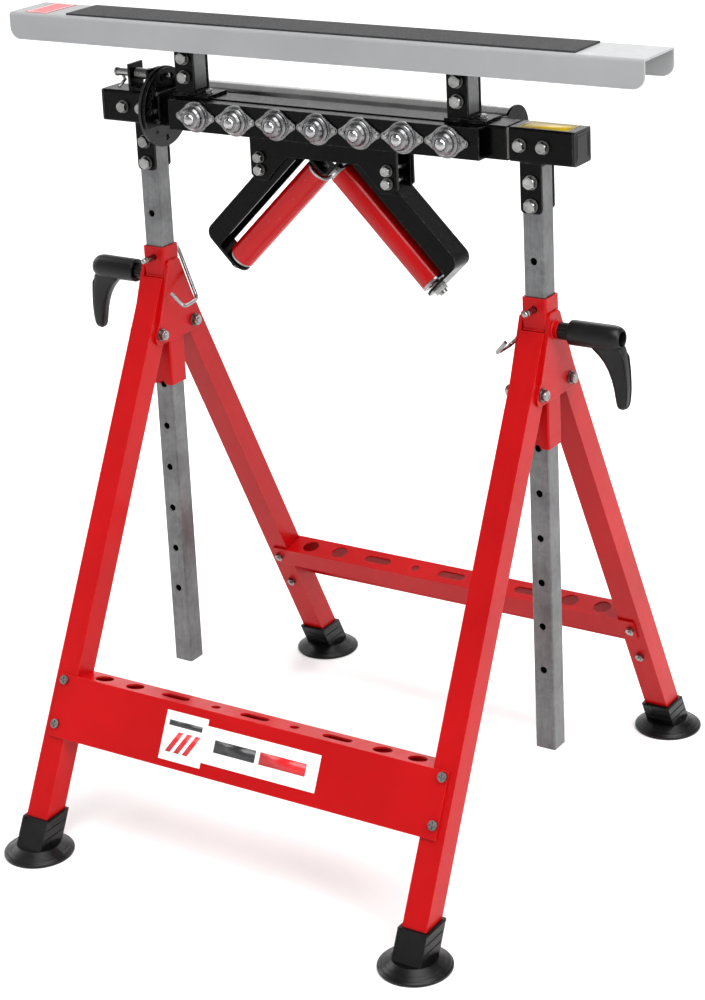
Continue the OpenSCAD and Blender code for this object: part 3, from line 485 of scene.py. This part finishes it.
def rounded_loop(corners, radius):
    """Points round an outline from the middle of corner 1 to the end of corner 0's arc.

    The run is open: the side from corner 0 to corner 1 is left out."""
    steps = 6
    loop = corners + corners[:2]
    return smooth_path(loop, radius, steps)[1 + steps // 2:-1]


def along(a, b, step):
    a, b = Vector(a), Vector(b)
    n = max(2, int((b - a).length / step))
    return [a.lerp(b, i / n) for i in range(n + 1)]


SCALLOP = 1.5   # mm between the ripples of a weld bead


def scallop(run):
    """Radius factor of a weld bead after run millimetres."""
    return 0.86 + 0.16 * abs(math.sin(run / SCALLOP * math.pi / 2))


def bead(bm, a, b, r=1.5 * MM):
    """A weld bead with the small overlapping scallops a torch leaves."""
    def ripple(d):
        return scallop(d / MM) + 0.06 * noise.noise(Vector((d * 300, a[0] * 40, a[2] * 40)))
    pts = along(a, b, 0.35 * MM)
    end = (pts[-1] - pts[0]).normalized()
    pts = [pts[0] - end * 0.2 * MM] + pts + [pts[-1] + end * 0.2 * MM]
    tube(bm, pts, r, sides=10, ripple=ripple)


def ring_bead(bm, origin, axis, radius):
    """The same bead run once round a boss."""
    r, step, sides = 1.4 * MM, 0.4, 8
    mat = Matrix.Translation(Vector(origin)) @ basis(axis)
    n = int(2 * math.pi * radius / (step * MM))
    rings = []
    for i in range(n):
        a = 2 * math.pi * i / n
        k = scallop(i * step)
        ring = []
        for j in range(sides):
            b = 2 * math.pi * j / sides
            rr = radius + math.cos(b) * r * k
            ring.append(bm.verts.new(mat @ Vector((rr * math.cos(a), rr * math.sin(a),
                                                   math.sin(b) * r * k))))
        rings.append(ring)
    for a, b in zip(rings, rings[1:] + rings[:1]):
        bridge(bm, a, b)


def hexagon(a):
    """Radius factor of a hexagon whose flats are at factor cos 30."""
    s = (a + math.pi / 6) % (math.pi / 3) - math.pi / 6
    return math.cos(math.pi / 6) / math.cos(s)


def hex_solid(bm, origin, axis, flats, height, turn=0.0):
    """Hex nut or head from origin along axis, with both ends chamfered."""
    steps, chamfer = 48, 0.13
    R = flats / 2 / math.cos(math.pi / 6)
    mat = Matrix.Translation(Vector(origin)) @ basis(axis)
    flat_r = flats / 2 * 0.97
    rings = []
    for h, limit in ((0.0, flat_r), (chamfer * height, None),
                     ((1 - chamfer) * height, None), (height, flat_r)):
        ring = []
        for i in range(steps):
            a = 2 * math.pi * i / steps + turn
            k = R * hexagon(a - turn)
            r = min(k, limit) if limit else k
            hh = h
            if limit is None:
                over = max(0.0, k - flats / 2) * 0.55
                hh = h + over if h < height / 2 else h - over
            ring.append(bm.verts.new(mat @ Vector((r * math.cos(a), r * math.sin(a), hh))))
        rings.append(ring)
    for a, b in zip(rings, rings[1:]):
        bridge(bm, a, b)
    bm.faces.new(list(reversed(rings[0])))
    bm.faces.new(rings[-1])


def washer(bm, origin, axis, r, hole, t):
    c = min(0.25 * MM, t * 0.3)
    revolve(bm, [(hole, 0), (r - c, 0), (r, c), (r, t - c), (r - c, t), (hole, t), (hole, 0)],
            origin, axis)


def thread(bm, origin, axis, d, length, pitch=1.25 * MM):
    """Threaded bolt end with a chamfered tip."""
    prof = [(d / 2, 0)]
    for i in range(max(1, int(length / pitch))):
        h = i * pitch
        prof += [(d / 2 - 0.05 * MM, h + 0.1 * pitch), (d / 2 * 0.86, h + 0.5 * pitch),
                 (d / 2 - 0.05 * MM, h + 0.9 * pitch)]
    prof += [(d / 2 * 0.8, length), (0, length)]
    revolve(bm, prof, origin, axis, steps=32)


def bolt_set(name, node, body, axis_index, flats, washer_r):
    """Hex bolts that stand for a CAD node's plain ones, placed on its own solids.

    Heads face away from the middle of the stand on X, and forwards on Y."""
    d, head_h, washer_t, nut_h, stub = 8 * MM, 5.2 * MM, 1.6 * MM, 6.5 * MM, 9.0 * MM
    bm, ws = bmesh.new(), bmesh.new()
    for k, (lo, hi) in enumerate(islands(node)):
        c = (lo + hi) / 2
        axis = Vector((0, 0, 0))
        axis[axis_index] = -1.0 if axis_index == 0 and c.x >= STAND_X else 1.0
        head_end, tail_end = Vector(c), Vector(c)
        ends = (lo, hi) if axis[axis_index] > 0 else (hi, lo)
        head_end[axis_index] = ends[0][axis_index]
        tail_end[axis_index] = ends[1][axis_index]
        base = head_end + axis * head_h
        hex_solid(bm, base, -axis, flats, head_h)
        # raised ring on the head
        revolve(bm, [(flats * 0.4, head_h - 0.02 * MM), (flats * 0.38, head_h + 0.3 * MM),
                     (flats * 0.3, head_h + 0.3 * MM), (flats * 0.27, head_h - 0.02 * MM)],
                base, -axis, steps=40)
        washer(ws, base, axis, washer_r, d / 2, washer_t)
        plate = base + axis * washer_t
        far = tail_end - axis * stub
        revolve(bm, [(d / 2, 0), (d / 2, (far - plate).length)], plate, axis, steps=32)
        washer(ws, far, axis, washer_r, d / 2, washer_t)
        hex_solid(bm, far + axis * washer_t, axis, flats, nut_h - 1.0 * MM, turn=0.35 * k + 0.2)
        thread(bm, far + axis * (washer_t + nut_h - 1.2 * MM), axis, d,
               stub - washer_t - nut_h + 1.2 * MM)
    o = add(name, bm, body, "zinc", smooth=30)
    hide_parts(node)
    add(name + "_washers", ws, body, "washer", smooth=30)


bolt_set("gusset_bolt_set", "gusset_bolts", "trestles", 0, 12 * MM, 7.7 * MM)
bolt_set("column_bolt_set", "column_bolts", "carriage", 1, 13 * MM, 8.3 * MM)
bolt_set("end_tube_bolt_set", "end_tube_bolts", "carriage", 1, 12 * MM, 7.7 * MM)
bolt_set("post_bolt_set", "post_bolts", "head", 1, 13 * MM, 8.3 * MM)
bolt_set("v_bolt_set", "v_bolts", "head", 1, 11 * MM, 7.0 * MM)

# ---------------------------------------------------------------- trestle details

sleeve_boxes = islands("sleeves")
slope = math.tan(LEG_LEAN)

# beads where the legs meet the sleeves, and along the gussets' top edges
bm = bmesh.new()
weld_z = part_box("front_legs")[1].z + 0.4 * MM
for lo, hi in sleeve_boxes:
    for y in (-hi.y - 0.6 * MM, hi.y + 0.6 * MM):
        bead(bm, (lo.x + 2 * MM, y, weld_z), (hi.x - 2 * MM, y, weld_z), 1.6 * MM)
gusset_top = 0.645
for lo, hi in islands("gussets"):
    mid = (lo.x + hi.x) / 2
    sleeve = min(sleeve_boxes, key=lambda b: abs((b[0].x + b[1].x) / 2 - mid))
    cx = (sleeve[0].x + sleeve[1].x) / 2
    x = cx + math.copysign(SLEEVE_HALF + 0.4 * GUSSET_T, mid - cx)
    for s in (-1, 1):
        bead(bm, (x, s * 9 * MM, gusset_top), (x, s * 1 * MM, gusset_top), 1.1 * MM)
add("trestle_welds", bm, "trestles", "red", smooth=60)

bm = bmesh.new()
for lo, hi in islands("sleeve_nuts"):
    c = (lo + hi) / 2
    inner = lo.x if c.x > STAND_X else hi.x
    ring_bead(bm, (inner, c.y, c.z), (1, 0, 0), (hi.z - lo.z) / 2 + 0.4 * MM)
add("boss_welds", bm, "trestles", "red", smooth=60)

# feet: raised rings and radial ribs on the flange
bm = bmesh.new()
for lo, hi in islands("feet"):
    R = (hi.x - lo.x) / 2
    foot = Vector(((lo.x + hi.x) / 2, lo.y + R if lo.y < 0 else hi.y - R, 0))
    for inset, z, w in mm([(3.2, 5.0, 1.3), (8, 7.6, 0.9), (11.5, 9.4, 0.9)]):
        r = R - inset
        revolve(bm, [(r - w, z - 1.2 * MM), (r - w * 0.6, z + 0.3 * MM), (r, z + 0.7 * MM),
                     (r + w * 0.6, z + 0.1 * MM), (r + w, z - 1.6 * MM)], foot, UP, 96)
    for i in range(24):
        a = 2 * math.pi * i / 24
        d = Vector((math.cos(a), math.sin(a), 0))
        p0, p1 = foot + d * (R - 14 * MM), foot + d * (R - 4.5 * MM)
        p0.z, p1.z = 10.6 * MM, 5.3 * MM
        tube(bm, along(p0, p1, 2 * MM), 0.7 * MM, sides=8)
add("foot_ribs", bm, "trestles", "rubber", smooth=50)

# a rolled collar round each foot's socket, with two lines below it that follow the leg;
# all three are open on the outer side
bm = bmesh.new()
for lo, hi in islands("feet"):
    cx = (lo.x + hi.x) / 2
    sgn = -1 if lo.y < 0 else 1
    z = hi.z - 1.6 * MM
    leg_wide = LEG_SIDE / math.cos(LEG_LEAN)
    outer_y = sgn * (LEG_SPREAD - z * slope + 3.4 * MM)
    inner_y = sgn * (LEG_SPREAD - leg_wide - z * slope - 3.4 * MM)
    hx = 18.1 * MM
    corners = [Vector((cx - hx, outer_y, z)), Vector((cx + hx, outer_y, z)),
               Vector((cx + hx, inner_y, z)), Vector((cx - hx, inner_y, z))]
    path = rounded_loop(corners, 3.5 * MM)
    tube(bm, path, 1.5 * MM, sides=10, closed_ends=False)
    for drop in (10 * MM, 20 * MM):
        line = [p + Vector((0, sgn * drop * slope, -drop)) for p in path]
        tube(bm, line, 0.8 * MM, sides=8, closed_ends=False)
add("foot_collars", bm, "trestles", "rubber", smooth=50)

# label art: plain bars and slanted stripes, no lettering
film_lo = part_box("front_label")[0]
n_up = Vector((0, math.sin(LEG_LEAN), math.cos(LEG_LEAN)))
n_out = Vector((0, -math.cos(LEG_LEAN), math.sin(LEG_LEAN)))


def bar(bm, left, right, low, high, slant=0):
    """Raised bar on the sloping label, in mm from the label's lower left corner.

    The upper edge is slant mm further right."""
    lift, thick = 0.42 * MM, 0.3 * MM
    front = []
    for x, up in ((left, low), (right, low), (right + slant, high), (left + slant, high)):
        edge = Vector((film_lo.x + x * MM, film_lo.y, film_lo.z))
        front.append(bm.verts.new(edge + n_up * (up * MM) + n_out * lift))
    back = [bm.verts.new(v.co - n_out * thick) for v in front]
    bm.faces.new(front)
    bm.faces.new(list(reversed(back)))
    for i in range(4):
        j = (i + 1) % 4
        bm.faces.new((front[i], back[i], back[j], front[j]))


red, dark = bmesh.new(), bmesh.new()
for x in (7, 19, 31):
    bar(red, x, x + 7, 10, 34, slant=14)
bar(dark, 6, 52, 40, 46)
bar(dark, 72, 128, 22, 36)
bar(red, 134, 196, 22, 36)
add("label_bars_red", red, "trestles", "film_red", smooth=0)
add("label_bars_dark", dark, "trestles", "film_dark", smooth=0)

# ---------------------------------------------------------------- lock pins

PIN_R = 3.6
PIN_PROFILE = mm([(0, 0), (2.0, 0), (2.4, 0.2), (3.55, 1.5), (PIN_R, 2), (PIN_R, 5), (3.1, 5.4),
                  (3.1, 6.2), (PIN_R, 6.6), (PIN_R, 64), (3.4, 68), (2.7, 71), (2.3, 71.5)])

for side, sx in SIDE.items():
    lo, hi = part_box("lock_pin_" + side)
    col = sleeve_boxes[0 if sx < 0 else 1]
    cx = (col[0].x + col[1].x) / 2
    pin_z = hi.z - 3.7 * MM
    bm = bmesh.new()
    revolve(bm, PIN_PROFILE, (cx, lo.y, pin_z), (0, 1, 0), 40)
    # wire bail: from the pin's rear end inwards and down, then forwards and up at its tip
    bail = [(cx, lo.y + 62 * MM, pin_z), (cx, lo.y + 71 * MM, pin_z),
            (cx - sx * 43.5 * MM, 9 * MM, pin_z - 53.5 * MM),
            (cx - sx * 45.5 * MM, -21.5 * MM, pin_z - 55 * MM),
            (cx - sx * 30.5 * MM, -25.5 * MM, pin_z - 38.5 * MM)]
    tube(bm, smooth_path(bail, 7 * MM, 10), 2.3 * MM, sides=20)
    o = add("pull_pin_" + side, bm, "pin_" + side, "zinc", smooth=40)
    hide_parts("lock_pin_" + side)

# ---------------------------------------------------------------- clamp levers

# (radius, distance out) of the hub with its recess, and of the button screw inside
HUB_R = 14.4
HUB = mm([(5.0, 1), (10.2, 0), (13.2, 0), (14.0, 0.8), (14.1, 3), (14.3, 30), (HUB_R, 50),
          (13.9, 55), (12.6, 58.8), (10.9, 61.2), (9.6, 62.0), (8.8, 61.6), (8.4, 60.4),
          (8.0, 52), (7.6, 44), (0, 43.5)])
BUTTON = mm([(6.4, 43.6), (6.4, 45.6), (5.6, 46.6), (2.9, 47.0), (2.6, 45.0), (0, 44.8)])
# distance out of the arm's inner and outer edges, height from the hub's axis and half
# thickness, from the hub to the tip
ARM = [(30, 59.5, -8.9, 9.4), (25.5, 62.6, -9.6, 10.2), (25.6, 64.0, -12.0, 10.0),
       (29.5, 65.0, -15.6, 9.4), (34.5, 65.9, -20, 8.9), (40.6, 67.0, -27, 8.5),
       (46.0, 68.0, -36, 8.2), (50.0, 68.7, -46, 7.9), (52.6, 68.9, -56, 7.7),
       (54.3, 68.5, -66, 7.4), (55.6, 67.4, -74, 6.8), (56.8, 65.9, -78, 5.4),
       (58.8, 63.8, -79.8, 2.8)]
ARM_STEPS = 40

for side, sx in SIDE.items():
    lo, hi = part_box("clamp_handle_" + side)
    near = lo.x if sx > 0 else hi.x
    hub_z = hi.z - HUB_R * MM

    def at(dx, y, dz):
        """Point dx out from the hub's near end and dz above its axis."""
        return Vector((near + sx * dx, y, hub_z + dz))

    bm = bmesh.new()
    revolve(bm, HUB, at(0, 0, 0), (sx, 0, 0), 64)
    secs = [((a + b) / 2, z, (b - a) / 2, t) for a, b, z, t in ARM]
    rings = []
    for dx, dz, w, t in secs:
        ring = []
        for i in range(ARM_STEPS):
            a = 2 * math.pi * i / ARM_STEPS
            c, s = math.cos(a), math.sin(a)
            ex = math.copysign(abs(c) ** 0.5, c)
            ey = math.copysign(abs(s) ** 0.5, s)
            ring.append(bm.verts.new(at((dx + ex * w) * MM, ey * t * MM, dz * MM)))
        rings.append(ring)
    for a, b in zip(rings, rings[1:]):
        bridge(bm, a, b)
    bm.faces.new(rings[-1])
    bm.faces.new(list(reversed(rings[0])))
    o = add("lever_" + side, bm, "handle_" + side, "plastic", smooth=42)
    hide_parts("clamp_handle_" + side)

    bm = bmesh.new()
    revolve(bm, BUTTON, at(0, 0, 0), (sx, 0, 0), 40)
    add("lever_screw_" + side, bm, "handle_" + side, "zinc", smooth=35)

    # moulded rib down one side of the arm's outer edge and up the other
    bm = bmesh.new()
    down = [(dx + w - 0.2, t - 2.4, dz) for dx, dz, w, t in secs[4:12]]
    down.insert(0, (down[0][0] - 2.5, down[0][1], -16.5))
    edge = [at(a * MM, -b * MM, z * MM) for a, b, z in down]
    edge += [at(a * MM, b * MM, z * MM) for a, b, z in reversed(down)]
    tube(bm, smooth_path(edge, 4 * MM, 5), 0.9 * MM, sides=10)
    add("lever_lip_" + side, bm, "handle_" + side, "plastic", smooth=60)

    # a bright turn of the stud's thread where it leaves the boss
    bm = bmesh.new()
    nut = islands("sleeve_nuts")[0 if sx < 0 else 1]
    face = nut[1].x if sx > 0 else nut[0].x
    thread(bm, (face - sx * 0.4 * MM, 0, hub_z), (sx, 0, 0), 8.05 * MM, 1.2 * MM)
    add("stud_thread_" + side, bm, "clamp_" + side, "zinc", smooth=30)

# ---------------------------------------------------------------- plunger spring

lo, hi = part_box("plunger_spring")
c = (lo + hi) / 2
bm = bmesh.new()
turns, turn_steps, wire_r = 8, 32, 0.7 * MM
R = (hi.z - lo.z) / 2 - wire_r
pts = []
for i in range(turns * turn_steps + 1):
    t = i / (turns * turn_steps)
    a = 2 * math.pi * turns * t
    x = lo.x + wire_r + (hi.x - lo.x - 2 * wire_r) * t
    pts.append((x, c.y + R * math.cos(a), c.z + R * math.sin(a)))
tube(bm, pts, wire_r, sides=10)
spring = add("plunger_coil", bm, "carriage", "spring", smooth=60)
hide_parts("plunger_spring")
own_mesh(spring)

# ---------------------------------------------------------------- head welds and plates

bm = bmesh.new()
beam_lo, beam_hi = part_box("main_tube")
# stitches along the ball channel's lower edge
chan_lo, chan_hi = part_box("ball_channel")
stitch, stitch_pitch = 22 * MM, 62 * MM
x, y, z = chan_lo.x + 6 * MM, beam_lo.y - 0.8 * MM, chan_lo.z + 0.6 * MM
while x < chan_hi.x - 30 * MM:
    bead(bm, (x, y, z), (x + stitch, y, z), 1.4 * MM)
    x += stitch_pitch
# post brackets to the beam, and each post's foot
for lo, hi in islands("post_brackets"):
    z = beam_hi.z + 0.5 * MM
    for y in (-17.2 * MM, 17.2 * MM):
        bead(bm, (lo.x + 3 * MM, y, z), (lo.x + 20 * MM, y, z))
        bead(bm, (hi.x - 20 * MM, y, z), (hi.x - 3 * MM, y, z))
    z = beam_hi.z + 3.4 * MM
    for s in (-1, 1):
        x = lo.x + 16 * MM + s * 13.6 * MM
        bead(bm, (x, -11 * MM, z), (x, 11 * MM, z), 1.3 * MM)
# V bracket under the beam
vb_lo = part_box("v_bracket")[0]
for y in (-19.4 * MM, 19.4 * MM):
    for a, b in mm([(6, 40), (76, 120), (158, 190)]):
        z = beam_lo.z + 0.3 * MM
        bead(bm, (vb_lo.x + a, y, z), (vb_lo.x + b, y, z), 1.4 * MM)
# long roller's plates behind the beam
low, high = 0.820, 0.850
for lo, hi in islands("roller_plates"):
    for x in (lo.x, hi.x):
        y = beam_hi.y + 0.6 * MM
        bead(bm, (x, y, low), (x, y, high), 1.3 * MM)
# end plate round the beam: y and height over the axis, from and to
plate_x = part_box("end_plate")[1].x + 0.5 * MM
for a, b in (((-17, 19), (17, 19)), ((-19, -15), (-19, 16)), ((19, 16), (19, -15))):
    bead(bm, (plate_x, a[0] * 1.03 * MM, AXIS_Z + a[1] * MM * 1.02),
         (plate_x, b[0] * 1.03 * MM, AXIS_Z + b[1] * MM * 1.02), 1.5 * MM)
add("head_welds", bm, "head", "black", smooth=60)

bm = bmesh.new()
for lo, hi in islands("column_brackets"):
    z = hi.z - 0.2 * MM
    for y in (-15.4 * MM, 15.4 * MM):
        bead(bm, (lo.x + 2 * MM, y, z), (hi.x - 2 * MM, y, z), 1.5 * MM)
lo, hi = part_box("plunger_bracket")
z = lo.z + 0.6 * MM
for y in (-13.4 * MM, 13.4 * MM):
    bead(bm, (lo.x + 2 * MM, y, z), (hi.x - 2 * MM, y, z), 1.4 * MM)
add("carriage_welds", bm, "carriage", "black", smooth=60)

# small screws on the post plates
bm = bmesh.new()
for lo, hi in islands("post_brackets"):
    p = Vector((hi.x - 11 * MM, -4 * MM, beam_hi.z + 3 * MM))
    washer(bm, p, UP, 5.6 * MM, 2.5 * MM, 1.0 * MM)
    hex_solid(bm, p + Vector((0, 0, 1.0 * MM)), UP, 8 * MM, 3.6 * MM)
add("post_plate_screws", bm, "head", "zinc", smooth=30)


def slab(bm, x0, y0, x1, y1, z, t):
    """Flat box from z up to z + t."""
    v = [bm.verts.new((x, y, zz)) for zz in (z, z + t)
         for x, y in ((x0, y0), (x1, y0), (x1, y1), (x0, y1))]
    for f in ((3, 2, 1, 0), (4, 5, 6, 7), (0, 1, 5, 4), (1, 2, 6, 5), (2, 3, 7, 6),
              (3, 0, 4, 7)):
        bm.faces.new([v[i] for i in f])


def border(bm, x0, y0, x1, y1, wide, z, t):
    """Four strips just inside a rectangle."""
    slab(bm, x0, y0, x1, y0 + wide, z, t)
    slab(bm, x0, y1 - wide, x1, y1, z, t)
    slab(bm, x0, y0 + wide, x0 + wide, y1 - wide, z, t)
    slab(bm, x1 - wide, y0 + wide, x1, y1 - wide, z, t)


# generic yellow film on the right end tube, with a dark border line
bm, dark = bmesh.new(), bmesh.new()
lo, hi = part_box("end_tube_right")
x0, x1, film_t = lo.x + 9 * MM, hi.x - 8 * MM, 0.25 * MM
slab(bm, x0, -14 * MM, x1, 14 * MM, hi.z, film_t)
border(dark, x0 + 2 * MM, -12 * MM, x1 - 2 * MM, 12 * MM, 1 * MM, hi.z + film_t, 0.1 * MM)
add("end_tube_film", bm, "carriage", "film_yellow", smooth=0)
add("end_tube_film_border", dark, "carriage", "film_dark", smooth=0)

# white border on the red table label
bm = bmesh.new()
lo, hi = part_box("table_label")
t = 1.4 * MM
border(bm, lo.x + t, lo.y + t, hi.x - t, hi.y - t, t, hi.z, 0.08 * MM)
add("table_label_border", bm, "head", "film_white", smooth=0)

# ---------------------------------------------------------------- ball units

cup_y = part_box("ball_cups")[0].y
# radius, distance behind the cup's front and half thickness of its rolled rims
RIMS = mm([(8.9, 0.25, 0.65), (13.3, 8.4, 0.7), (16.1, 13.1, 0.8)])
bm, seal = bmesh.new(), bmesh.new()
for i in range(1, 8):
    c = centre("ball_%d" % i)
    for r, back, w in RIMS:
        prof = [(r + w * math.cos(a), w * math.sin(a)) for a in
                [2 * math.pi * k / 10 for k in range(11)]]
        revolve(bm, prof, (c.x, cup_y + back, c.z), (0, 1, 0), 72)
    revolve(seal, mm([(8.35, 1.4), (8.8, 0.5), (8.9, 2.6)]), (c.x, cup_y + 0.1 * MM, c.z),
            (0, 1, 0), 64)
add("ball_cup_rims", bm, "head", "chrome", smooth=60)
add("ball_cup_seals", seal, "head", "seal", smooth=60)

# ---------------------------------------------------------------- bearings in the rollers


def bearing(metal, seal, origin, axis, r_in, r_out):
    """Outer race, inner race and the seal between them."""
    w = r_out - r_in
    outer, inner = r_out - 0.18 * w, r_in + 0.22 * w
    revolve(metal, [(outer, -0.2 * MM), (outer, 0.5 * MM), (r_out, 0.5 * MM),
                    (r_out, -0.2 * MM)], origin, axis, 64)
    revolve(metal, [(r_in + 0.2 * MM, -0.2 * MM), (r_in + 0.2 * MM, 0.5 * MM),
                    (inner, 0.5 * MM), (inner, -0.2 * MM)], origin, axis, 64)
    revolve(seal, [(inner, 0.1 * MM), (r_in + 0.5 * w, 0.38 * MM), (outer, 0.1 * MM)],
            origin, axis, 64)


# bright rolled rim at each end of a V roller
V_RIM = mm([(15.4, 0.02), (15.9, -0.2), (16.1, -1.2), (16.1, -2.6), (15.9, -3.1)])
V_LIP = mm([(15.6, 0.02), (14.4, 0.1), (13.6, 0.02)])

for side in SIDE:
    joint = [q for q in frame["joints"] if q["name"] == "v_roller_spin_" + side][0]
    axis = Vector(joint["axis"]).normalized()
    origin = Vector(joint["pos_m"])
    reach = [(v.co - origin).dot(axis) for v in frame["nodes"]["v_roller_" + side].data.vertices]
    ends = ((min(reach), -1), (max(reach), 1))
    metal, seal = bmesh.new(), bmesh.new()
    for s, d in ends:
        bearing(metal, seal, origin + axis * (s - d * 1.15 * MM), axis * d, 5.06 * MM, 10 * MM)
    for s, d in ends:
        revolve(metal, V_RIM, origin + axis * s, axis * d, 80)
        revolve(metal, V_LIP, origin + axis * s, axis * d, 80)
    add("v_roller_rims_" + side, metal, "v_" + side, "zinc", smooth=40)
    add("v_roller_seals_" + side, seal, "v_" + side, "seal", smooth=40)

LONG_RIM = mm([(20.2, -1.3), (20.6, 0.0), (23.6, 0.05), (24.6, -0.3), (25.02, -1.2)])
lo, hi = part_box("long_roller")
c = (lo + hi) / 2
metal, seal = bmesh.new(), bmesh.new()
for x, d in ((lo.x, -1), (hi.x, 1)):
    bearing(metal, seal, (x - d * 1.4 * MM, c.y, c.z), (d, 0, 0), 6.06 * MM, 20 * MM)
    revolve(metal, LONG_RIM, (x, c.y, c.z), (d, 0, 0), 96)
add("long_roller_ends", metal, "long_roller", "zinc", smooth=40)
add("long_roller_seals", seal, "long_roller", "seal", smooth=40)

# threaded tips of the long roller's axle
bm = bmesh.new()
lo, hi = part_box("roller_axle")
c = (lo + hi) / 2
for x, d in ((lo.x, -1), (hi.x, 1)):
    thread(bm, (x - d * 2.2 * MM, c.y, c.z), (d, 0, 0), 12.1 * MM, 2.3 * MM, 1.0 * MM)
add("axle_tips", bm, "head", "zinc", smooth=30)

# ---------------------------------------------------------------- end cap ribs

# two rounded outlines on each cap, open at the bottom
bm = bmesh.new()
for lo, hi in islands("end_caps"):
    c = (lo + hi) / 2
    x = lo.x if c.x < STAND_X else hi.x
    for half in (15.5 * MM, 12.5 * MM):
        corners = [Vector((x, c.y + a * half, c.z + b * half))
                   for a, b in ((-1, -1), (1, -1), (1, 1), (-1, 1))]
        tube(bm, rounded_loop(corners, 3 * MM), 0.5 * MM, sides=8, closed_ends=False)
add("end_cap_ribs", bm, "carriage", "plastic", smooth=60)

# ---------------------------------------------------------------- studio

# flat round floor with a raised rim far out
rim = 14.0
bm = bmesh.new()
revolve(bm, [(0.0, 0.0), (3.0, 0.0), (8.0, 0.0), (rim, 0.0), (rim + 3, 0.6), (rim + 5, 2.4),
             (rim + 5.6, 6.0), (rim + 5.6, 14.0)], (0, 0, 0), UP, 96)
floor = mesh_object("floor", bm, "floor")
floor.location.z = -0.0002   # just under the feet, so that the faces don't coincide

scene = bpy.context.scene
world = bpy.data.worlds.new("studio")
scene.world = world
world.use_nodes = True
background = world.node_tree.nodes["Background"]
background.inputs["Color"].default_value = (1, 1, 1, 1)
background.inputs["Strength"].default_value = 0.3
scene.view_settings.view_transform = "Standard"
scene.view_settings.look = "Medium High Contrast"


def light(name, kind, power, direction):
    """A light that shines along direction."""
    data = bpy.data.lights.new(name, kind)
    data.energy = power
    o = bpy.data.objects.new(name, data)
    scene.collection.objects.link(o)
    o.rotation_euler = Vector(direction).to_track_quat("-Z", "Y").to_euler()
    return o


def area(name, loc, size, power, size_y=None):
    """Soft light aimed at the middle of the stand."""
    o = light(name, "AREA", power, Vector((0, 0, 0.6)) - Vector(loc))
    o.location = loc
    o.data.size = size
    if size_y:
        o.data.shape = "RECTANGLE"
        o.data.size_y = size_y


light("sky", "SUN", 2.8, (-0.5, 0.36, -1.3)).data.angle = math.radians(50)
area("side_right", (3.0, -0.9, 1.9), 1.0, 40, 2.2)
area("side_left", (-3.0, 0.3, 2.2), 0.8, 20, 2.0)
area("back_top", (-0.5, 2.6, 2.6), 1.6, 24)

# ---------------------------------------------------------------- camera

# fitted to the stand's straight edges in the photograph
azimuth, elevation, roll = math.radians(33.13), math.radians(16.99), math.radians(-2.71)
ahead = Vector((-math.sin(azimuth) * math.cos(elevation),
                math.cos(azimuth) * math.cos(elevation), -math.sin(elevation)))
level = Vector((math.cos(azimuth), math.sin(azimuth), 0))
right = level * math.cos(roll) + level.cross(ahead) * math.sin(roll)
cam_data = bpy.data.cameras.new("camera")
cam = bpy.data.objects.new("camera", cam_data)
scene.collection.objects.link(cam)
cam.matrix_world = Matrix.Translation(Vector((1.4875, -2.236, 1.442))) @ Matrix(
    (right, right.cross(ahead), -ahead)).transposed().to_4x4()
cam_data.sensor_width = 36.0
cam_data.lens = 87.4
cam_data.shift_y = -0.2
cam_data.clip_end = 100.0
scene.camera = cam
